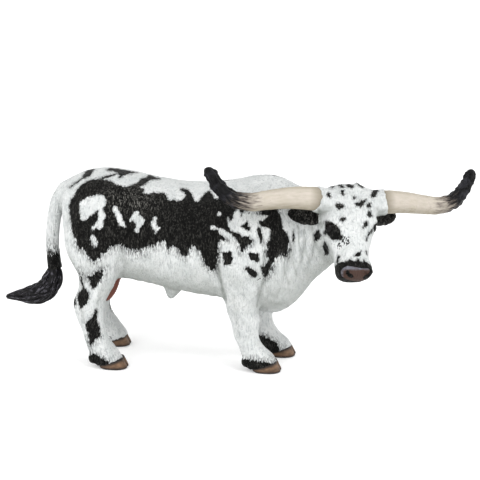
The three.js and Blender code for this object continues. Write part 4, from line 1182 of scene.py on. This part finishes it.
def buildHoof(name, leg):
    # Superellipse rings, notched at the toe by 1 - cleft exp(-(angle / width)^2), cut by the coronet plane
    x, y = hoofMiddle(leg)
    row = between(hoofRows, np.linspace(0, len(hoofRows) - 1, hoof["rings"]))
    count = hoof["pointsRound"]
    angle = (np.arange(count) + 0.5) / count * 2 * np.pi
    c, s = np.cos(angle)[None], np.sin(angle)[None]
    power = 2 / hoof["squareness"]
    reach = np.where(c > 0, row[:, 2:3], row[:, 1:2])
    turn = np.abs((angle + np.pi) % (2 * np.pi) - np.pi)
    cleft = np.exp(-((turn / hoof["cleftWidth"]) ** 2))
    forward = np.sign(c) * np.abs(c) ** power * reach * (1 - hoof["cleft"] * cleft)
    aside = np.sign(s) * np.abs(s) ** power * row[:, 3:4]
    height = np.broadcast_to(row[:, :1], forward.shape) + figure["sole"]
    rings = np.stack([forward + x, aside + y, height], -1).reshape(-1, 3)
    rings[:, 2] -= np.maximum(coronetHeight(rings, x) + hoof["gap"], 0)
    ends = np.array([[x, y, figure["sole"]], [x, y, coronet["height"] - hoof["gap"]]])
    obj = makeObject("hoof_shell_" + name, np.concatenate([rings, ends]), ringGrid(hoof["rings"], count))
    # the last two numbers of each are the middles of the sole and of the top
    setNumber(obj, "fromEdge", np.concatenate([-coronetHeight(rings, x), [5, 0.1]]))
    setNumber(obj, "fromSole", np.concatenate([rings[:, 2] - figure["sole"], [0, 5]]))
    setNumber(obj, "slit", np.concatenate([np.tile(cleft, len(row)), [0, 0]]))
    return obj


def buildEye(side):
    # An ellipsoid turned with the side of the head
    points, faces = ball((0, 0, 0), eyes["radii"], 24, 36)
    points = points @ turnMatrix(2, side * eyes["turn"]).T + np.multiply(eyes["at"], (1, side, 1))
    return makeObject("eyeball_" + ("right" if side < 0 else "left"), fromHead(points), faces)


# Tiers of locks down the core: (start row, length in rows, radius)
switch = {
    "round": 12,
    "tiers": [(0.05, 2.0, 1.0), (0.9, 2.3, 0.95), (1.8, 2.4, 0.9), (2.7, 2.4, 0.8), (3.5, 2.4, 0.6)],
    "coreSteps": 60, "coreSides": 28, "coreLess": 0.8, "lockSteps": 22, "lockSides": 9,
    "turn": (-0.12, 0.12), "begin": (-0.05, 0.35), "thickness": (0.8, 1.1), "wave": (-0.3, 0.5),
    "grainPitch": 0.16, "apart": 5, "black": "#0a090b", "blackBrushed": "#55535a",
}


def lockRows(angle, start, length, radius, wave):
    # A strand that follows the core at angle + wave sin(1.3 pi f), thickest in its upper half
    last = len(switchRows) - 1
    f = np.linspace(0, 1, 9)
    t = np.minimum(start + f * length, last)
    core = between(switchRows, t)
    along = unit((between(switchRows, np.minimum(t + 0.05, last)) - between(switchRows, t - 0.05))[:, :3])
    aside = np.broadcast_to([0.0, 1, 0], along.shape)
    up = np.cross(aside, along)
    turn = angle + wave * np.sin(f * np.pi * 1.3)
    out = 0.66 + 0.3 * np.sin(f * np.pi * 0.8)
    sideways, upwards = np.cos(turn) * core[:, 3] * out, np.sin(turn) * core[:, 4] * out
    at = core[:, :3] + aside * sideways[:, None] + up * upwards[:, None]
    thick = radius * (0.12 + 0.88 * np.sin(np.pi * (0.16 + 0.82 * f)))
    return np.concatenate([at, np.stack([thick, thick * 0.8, thick * 0.8], 1)], 1)


def lockLines(steps, sides, lock):
    # Place for the paint's noise: around the lock in millimetres, slow along it, and apart for each lock
    angle = np.tile(np.arange(sides) / sides * 2 * np.pi, steps + 1)
    row = np.repeat(np.arange(steps + 1), sides) * switch["grainPitch"]
    start = switch["apart"] * lock
    places = np.stack([np.cos(angle) + start, np.sin(angle), row], 1)
    return np.concatenate([places, [[start, 0, 0], [start, 0, steps * switch["grainPitch"]]]])


def buildSwitch():
    # The core and its tiers of locks, each tier turned by half a lock against the one above it
    draw = np.random.default_rng(21)
    steps, count = switch["coreSteps"], switch["coreSides"]
    shells = [lineTube(switchRows, steps, count, hint=(0, 1, 0), grow=-switch["coreLess"])]
    lines = [lockLines(steps, count, 0)]
    steps, count = switch["lockSteps"], switch["lockSides"]
    for tier, (start, length, radius) in enumerate(switch["tiers"]):
        for k in range(switch["round"]):
            angle = (k + 0.5 * (tier % 2)) / switch["round"] * 2 * np.pi + draw.uniform(*switch["turn"])
            begin = start + draw.uniform(*switch["begin"])
            thickness = radius * draw.uniform(*switch["thickness"])
            rows = lockRows(angle, begin, length, thickness, draw.uniform(*switch["wave"]))
            shells.append(lineTube(rows, steps, count, hint=(0, 1, 0)))
            lines.append(lockLines(steps, count, len(shells)))
    obj = makeObject("switch_locks", *joinShells(shells))
    setPlace(obj, "grainLine", np.concatenate(lines))
    return obj


horns = {side: buildHorn(side) for side in (-1, 1)}
hooves = {name: buildHoof(name, leg) for name, leg in legs.items()}
eyeballs = {side: buildEye(side) for side in (-1, 1)}
switchObject = buildSwitch()
print("horns, hooves, eyes and switch built")


# Finishes


def linear(code):
    # sRGB hex to linear: c / 12.92 below 0.04045, else ((c + 0.055) / 1.055)^2.4
    parts = [int(code[k : k + 2], 16) / 255 for k in (1, 3, 5)]
    return [c / 12.92 if c <= 0.04045 else ((c + 0.055) / 1.055) ** 2.4 for c in parts] + [1.0]


def setInputs(node, inputs):
    # Sockets by name or in order, each from a number, a hex colour or another node's output
    for name, value in inputs.items() if isinstance(inputs, dict) else enumerate(inputs):
        if isinstance(value, bpy.types.NodeSocket):
            node.id_data.links.new(value, node.inputs[name])
        else:
            node.inputs[name].default_value = linear(value) if isinstance(value, str) else value


def addNode(tree, kind, inputs, output=0, **settings):
    # One node with its settings, inputs and links; gives back one of its outputs
    node = tree.nodes.new("ShaderNode" + kind)
    for name, value in settings.items():
        setattr(node, name, value)
    setInputs(node, inputs)
    return node.outputs[output]


def newMaterial(name, values):
    # A material with values on its shader's own sockets, its shader, and addNode for its tree
    material = bpy.data.materials.new(name)
    material.use_nodes = True
    shader = material.node_tree.nodes["Principled BSDF"]
    setInputs(shader, values)
    return material, shader, functools.partial(addNode, material.node_tree)


def cellScale(*sizes):
    # Cells of a pattern per metre: 1 / (millimetres x 0.001)
    return [1 / (size * figure["metresPerMm"]) for size in sizes]


# Paint colours, among them painted shade for the grooves, the hollows and folds and the belly, a painted
# highlight for the nose pad, and a grey dry-brushed over the black that also stands in for painted highlights
paint = {
    "white": "#f0f2f1", "whiteShade": "#dde1e0", "grooveShade": "#a2a8aa", "washShade": "#878c86",
    "underShade": "#a6aba4", "black": "#090908", "blackBrushed": "#7c7b76", "smudge": "#3c3d3d",
    "nose": "#54413a", "noseHighlight": "#8a8f9b", "pouch": "#8a574b", "edgeNoise": 1.9, "streakNoise": 2.3,
}
# The coat's patterns: cell sizes in millimetres, detail, roughness and distortion. The engraved hair is drawn
# about a millimetre apart, coarser than real, so that it shows, with finer strokes over it
coatNoises = {
    "streak": ((0.6, 0.6, 3.4), 3.0, 0.6, 0.6),
    "ragged": ((1.2, 1.2, 1.7), 3.0, 0.65, 0.0),
    "fleck": ((0.8, 0.8, 1.1), 1.0, 0.5, 0.0),
    "hair": ((0.85, 0.85, 3.4), 2.0, 0.6, 0.8),
    "strokes": ((0.6, 0.6, 2.0), 3.0, 0.6, 1.2),
    "patchy": ((7, 7, 7), 3.0, 0.6, 0.0),
    "wisps": ((0.5, 0.5, 2.2), 3.0, 0.6, 0.8),
}
coatMarks = (
    "blackPaint", "brushedEdge", "nosePad", "pouch", "washShade", "underShade", "speckle", "dryBrushAndGlints", "padTop",
)


def paintedCoat():
    # Moulded soft PVC under matt acrylic: engraved hair, painted shade in its grooves, hollows, folds and
    # under the belly, black laid in strokes with grey dry-brushed on its ridges as partly painted highlight,
    # and a painted highlight on the nose pad
    material, shader, add = newMaterial(
        "paintedVinylCoat", {"Roughness": 0.45, "IOR": 1.5, "Specular IOR Level": 0.09}
    )
    mark = {name: add("Attribute", {}, "Fac", attribute_name=name) for name in coatMarks}
    place = add("TexCoord", {}, "Object")
    noise = {}
    for name, (size, detail, roughness, distortion) in coatNoises.items():
        mapped = add("Mapping", {"Vector": place, "Scale": cellScale(*size)})
        values = {"Scale": 1.0, "Detail": detail, "Roughness": roughness, "Distortion": distortion}
        noise[name] = add("TexNoise", {"Vector": mapped} | values)
    hair, strokes, brush = noise["hair"], noise["strokes"], mark["brushedEdge"]
    # the black's edge: its distance moved by long streaks, as far as it is brushed out, and by a ragged grain
    streakBy, raggedBy = paint["streakNoise"], paint["edgeNoise"]
    streak = add("Math", [noise["streak"], streakBy, -streakBy / 2], operation="MULTIPLY_ADD")
    ragged = add("Math", [noise["ragged"], raggedBy, -raggedBy / 2], operation="MULTIPLY_ADD")
    edge = add("Math", [streak, brush, mark["blackPaint"]], operation="MULTIPLY_ADD")
    edge = add("Math", [edge, ragged], operation="ADD")
    flecked = add("Math", [mark["speckle"], 0.5, noise["fleck"]], operation="MULTIPLY_ADD")
    flecked = add("MapRange", [flecked, 0.92, 0.96])
    blackShare = add("Math", [add("MapRange", [edge, -0.16, 0.16, 1.0, 0.0]), flecked], operation="MAXIMUM")
    # painted shade in the grooves of the engraved hair, darker where the relief is low
    hairLines = add("MapRange", [hair, 0.47, 0.33, 0.0, 0.5])
    grooves = add("Math", [hairLines, add("MapRange", [strokes, 0.43, 0.3, 0.0, 0.5])], operation="MAXIMUM")
    # painted shade: the grey wash in the hollows and folds, thinner on the ridges of the strokes
    thin = add("MapRange", [strokes, 0.3, 0.65, 1.0, 0.5])
    foldShadeShare = add("Math", [mark["washShade"], thin], operation="MULTIPLY")
    # half-dry black dragged past the patch's edge leaves grey strokes on the ridges
    reach = add("Math", [brush, 0.9, 0.225], operation="MULTIPLY_ADD")
    beyond = add("Math", [edge, reach], operation="DIVIDE")
    beyond = add("MapRange", [beyond, 0.0, 1.7, 0.95, 0.0])
    dragged = add("Math", [beyond, add("MapRange", [noise["wisps"], 0.44, 0.55])], operation="MULTIPLY")
    # grey dry-brushed on the ridges of the black, which also stands in for painted highlights on them
    ridgeBrushAndGlints = add("MapRange", [strokes, 0.52, 0.63])
    ridgeBrushAndGlints = add("Math", [ridgeBrushAndGlints, mark["dryBrushAndGlints"]], operation="MULTIPLY")
    dark = add("Mix", {0: ridgeBrushAndGlints, 6: paint["black"], 7: paint["blackBrushed"]}, 2, data_type="RGBA")
    # painted highlight along the top and left edge of the nose pad
    sheen = add("Math", [add("MapRange", [ragged, -0.7, 0.2]), mark["padTop"]], operation="MULTIPLY")
    nose = add("Mix", {0: sheen, 6: paint["nose"], 7: paint["noseHighlight"]}, 2, data_type="RGBA")
    padEdge = add("Math", [ragged, 0.15, mark["nosePad"]], operation="MULTIPLY_ADD")
    # the paints, each laid over the ones before it, among them painted shade in the grooves, hollows and
    # folds and under the belly, and a painted highlight on the nose pad
    colour = paint["white"]
    for share, over in (
        (add("MapRange", [noise["patchy"], 0.35, 0.7]), paint["whiteShade"]),
        (grooves, paint["grooveShade"]),
        (add("MapRange", [mark["underShade"], 0.0, 0.9, 0.0, 0.8]), paint["underShade"]),
        (foldShadeShare, paint["washShade"]),
        (dragged, paint["smudge"]),
        (blackShare, dark),
        (add("MapRange", [mark["pouch"], -0.1, 0.3, 1.0, 0.0]), paint["pouch"]),
        (add("MapRange", [padEdge, -0.15, 0.15, 1.0, 0.0]), nose),
    ):
        colour = add("Mix", {0: share, 6: colour, 7: over}, 2, data_type="RGBA")
    engraved = add("Math", [strokes, 0.8, hair], operation="MULTIPLY_ADD")
    bump = add("Bump", {"Height": engraved, "Strength": 1.0, "Distance": 0.0014})
    setInputs(shader, {"Base Color": colour, "Normal": bump})
    return material


def paintedHorn():
    # Moulded PVC, cream satin paint with painted shade in olive at its edges and darker at its root, tips
    # sprayed and streaked black
    material, shader, add = newMaterial(
        "paintedVinylHorn", {"Roughness": 0.4, "IOR": 1.5, "Specular IOR Level": 0.12}
    )
    along, rounding = (add("Attribute", {}, "Fac", attribute_name=name) for name in ("along", "rounding"))
    lines = add("Attribute", {}, "Vector", attribute_name="grainLine")
    streak = add("TexNoise", {"Vector": lines, "Scale": 5.0, "Detail": 4.0})
    place = add("TexCoord", {}, "Object")
    patchy = add("TexNoise", {"Vector": place, "Scale": cellScale(4.0)[0], "Detail": 3.0})
    knobs = add("TexNoise", {"Vector": place, "Scale": cellScale(1.1)[0], "Detail": 2.0})
    # painted shade: olive where the outward direction points up or down in the head's frame, and darker at
    # the root beside the collar
    edge = add("Math", [rounding, streak], operation="ADD")
    wander = add("Math", [streak, horn["blackWander"], -horn["blackWander"] / 2], operation="MULTIPLY_ADD")
    reach = add("Math", [along, wander], operation="ADD")
    brushedTip = add("MapRange", [patchy, 0.5, 0.8])
    tip = add("Mix", {0: brushedTip, 6: horn["black"], 7: horn["blackBrushed"]}, 2, data_type="RGBA")
    colour = horn["cream"]
    for share, over in (
        (add("MapRange", [streak, 0.3, 0.7]), horn["creamLight"]),
        (add("MapRange", [patchy, 0.5, 0.75, 0.0, 0.35]), horn["creamPatch"]),
        (add("MapRange", [edge, 1.0, 1.55, 0.0, 0.75]), horn["oliveShade"]),
        (add("MapRange", [along, 1.2, 5.0, 0.8, 0.0]), horn["root"]),
        (add("MapRange", [reach, horn["blackFrom"] - 11, horn["blackFrom"] - 2]), horn["grey"]),
        (add("MapRange", [reach, horn["blackFrom"] - 4, horn["blackFrom"] + 2]), tip),
    ):
        colour = add("Mix", {0: share, 6: colour, 7: over}, 2, data_type="RGBA")
    ridged = add("Math", [knobs, 0.7, streak], operation="MULTIPLY_ADD")
    bump = add("Bump", {"Height": ridged, "Strength": 0.8, "Distance": 0.0005})
    setInputs(shader, {"Base Color": colour, "Normal": bump})
    return material


def paintedHoof():
    # Moulded PVC, brown satin paint, near black at the hairline, the sole's edge and in the cleft
    material, shader, add = newMaterial(
        "paintedVinylHoof", {"Roughness": 0.42, "IOR": 1.5, "Specular IOR Level": 0.35}
    )
    mapped = add("Mapping", {"Vector": add("TexCoord", {}, "Object"), "Scale": cellScale(2.4, 2.4, 1.2)})
    patchy = add("TexNoise", {"Vector": mapped, "Scale": 1.0, "Detail": 3.0})
    dark = add("Attribute", {}, "Fac", attribute_name="slit")
    for name in ("fromEdge", "fromSole"):
        near = add("Attribute", {}, "Fac", attribute_name=name)
        near = add("MapRange", [near, hoof["edgeFrom"], hoof["edgeTo"], 1.0, 0.0])
        dark = add("Math", [dark, near], operation="MAXIMUM")
    colour = hoof["brown"]
    for share, over in ((add("MapRange", [patchy, 0.35, 0.7]), hoof["brownLight"]), (dark, hoof["edge"])):
        colour = add("Mix", {0: share, 6: colour, 7: over}, 2, data_type="RGBA")
    bump = add("Bump", {"Height": patchy, "Strength": 0.4, "Distance": 0.0003})
    setInputs(shader, {"Base Color": colour, "Normal": bump})
    return material


def paintedHair():
    # Moulded PVC locks, black matt paint lightly dry-brushed with grey on the ridges, the grey also standing
    # in for painted highlights
    material, shader, add = newMaterial(
        "paintedVinylLocks", {"Roughness": 0.42, "IOR": 1.5, "Specular IOR Level": 0.15}
    )
    lines = add("Attribute", {}, "Vector", attribute_name="grainLine")
    streak = add("TexNoise", {"Vector": lines, "Scale": 1.7, "Detail": 2.0, "Roughness": 0.6})
    # grey dry-brushed on the locks' ridges, also standing in for painted highlights
    ridgeBrushAndGlints = add("MapRange", [streak, 0.54, 0.66])
    colour = add("Mix", {0: ridgeBrushAndGlints, 6: switch["black"], 7: switch["blackBrushed"]}, 2, data_type="RGBA")
    bump = add("Bump", {"Height": streak, "Strength": 0.9, "Distance": 0.0005})
    setInputs(shader, {"Base Color": colour, "Normal": bump})
    return material


def glossyEye():
    # Moulded PVC under clear gloss: near black with one small hard highlight
    values = {"Base Color": "#0a0807", "Roughness": 0.12, "IOR": 1.5, "Specular IOR Level": 0.15}
    return newMaterial("glossVarnishedEye", values)[0]


def dress(obj, material, nodes):
    # The piece's paint, its body and the nodes of the solids that it stands for
    obj.data.materials.append(material)
    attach(obj, "root")
    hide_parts(*nodes)


fleshNodes = ["torso", "neck", "head", "ear_right", "ear_left", "tail", "scrotum"]
fleshNodes += ["leg_" + name for name in legs]
dress(skinObject, paintedCoat(), fleshNodes)
hornMaterial, hoofMaterial, eyeMaterial = paintedHorn(), paintedHoof(), glossyEye()
for side, word in ((-1, "right"), (1, "left")):
    dress(horns[side], hornMaterial, ["horn_" + word])
    dress(eyeballs[side], eyeMaterial, ["eye_" + word])
for name, obj in hooves.items():
    dress(obj, hoofMaterial, ["hoof_" + name])
dress(switchObject, paintedHair(), ["tail_switch"])
print("finishes set")


# Floor, light and camera

studio = {"floorHalf": 3.0, "floorGlow": 0.2, "floorWhite": "#f4f4f4", "skyStrength": 1.0}
# Place and aim in metres, power in watts, width in metres
lights = {
    "keyLight": ((0.6, -0.45, 0.85), (0, 0, 0.04), 3.5, 0.35),
    "sideLight": ((1.0, 0.05, 0.55), (0, 0, 0.03), 1.8, 0.25),
    "fillLight": ((-0.6, -0.7, 0.5), (0, 0, 0.05), 4.2, 0.8),
}


def buildFloor():
    # White paper lit from below: its glow falls on the paper alone, so that it stays white beside the figure
    half = studio["floorHalf"]
    mesh = bpy.data.meshes.new("floor")
    corners = [(-half, -half, 0), (half, -half, 0), (half, half, 0), (-half, half, 0)]
    mesh.from_pydata(corners, [], [(0, 1, 2, 3)])
    floor = bpy.data.objects.new("floor", mesh)
    bpy.context.scene.collection.objects.link(floor)
    paper = {"Base Color": studio["floorWhite"], "Roughness": 0.9, "Specular IOR Level": 0.0}
    glow = {"Emission Color": "#ffffff", "Emission Strength": studio["floorGlow"]}
    mesh.materials.append(newMaterial("paperFloor", paper | glow)[0])
    paperOnly = bpy.data.collections.new("paperOnly")
    paperOnly.objects.link(floor)
    floor.light_linking.receiver_collection = paperOnly


def aim(obj, place, direction):
    # Puts a light or camera at its place, its own -Z along the direction
    obj.location = place
    obj.rotation_euler = Vector(direction).to_track_quat("-Z", "Y").to_euler()
    bpy.context.scene.collection.objects.link(obj)


def buildStudio():
    # A white sky and three soft square lamps
    world = bpy.data.worlds.new("softBox")
    world.use_nodes = True
    setInputs(world.node_tree.nodes["Background"], {"Color": "#ffffff", "Strength": studio["skyStrength"]})
    bpy.context.scene.world = world
    bpy.context.scene.view_settings.view_transform = "Standard"  # keeps the paint's own hex colours
    for name, (place, target, power, width) in lights.items():
        light = bpy.data.lights.new(name, "AREA")
        light.energy = power
        light.size = width
        aim(bpy.data.objects.new(name, light), place, Vector(target) - Vector(place))


def buildCamera():
    # place = target + distance x back; lens = focal pixels / photo pixels x sensor width
    right, up, back = cameraAxes()
    place = toMetres(np.array(view["target"]) + view["distance"] * back)
    camera = bpy.data.cameras.new("photoCamera")
    camera.sensor_width = view["sensorWidth"]
    camera.lens = view["focalPixels"] / view["photoPixels"] * view["sensorWidth"]
    camera.clip_start = 0.01
    obj = bpy.data.objects.new("photoCamera", camera)
    aim(obj, place.tolist(), (-back).tolist())
    bpy.context.scene.camera = obj


buildFloor()
buildStudio()
buildCamera()
print("studio set")
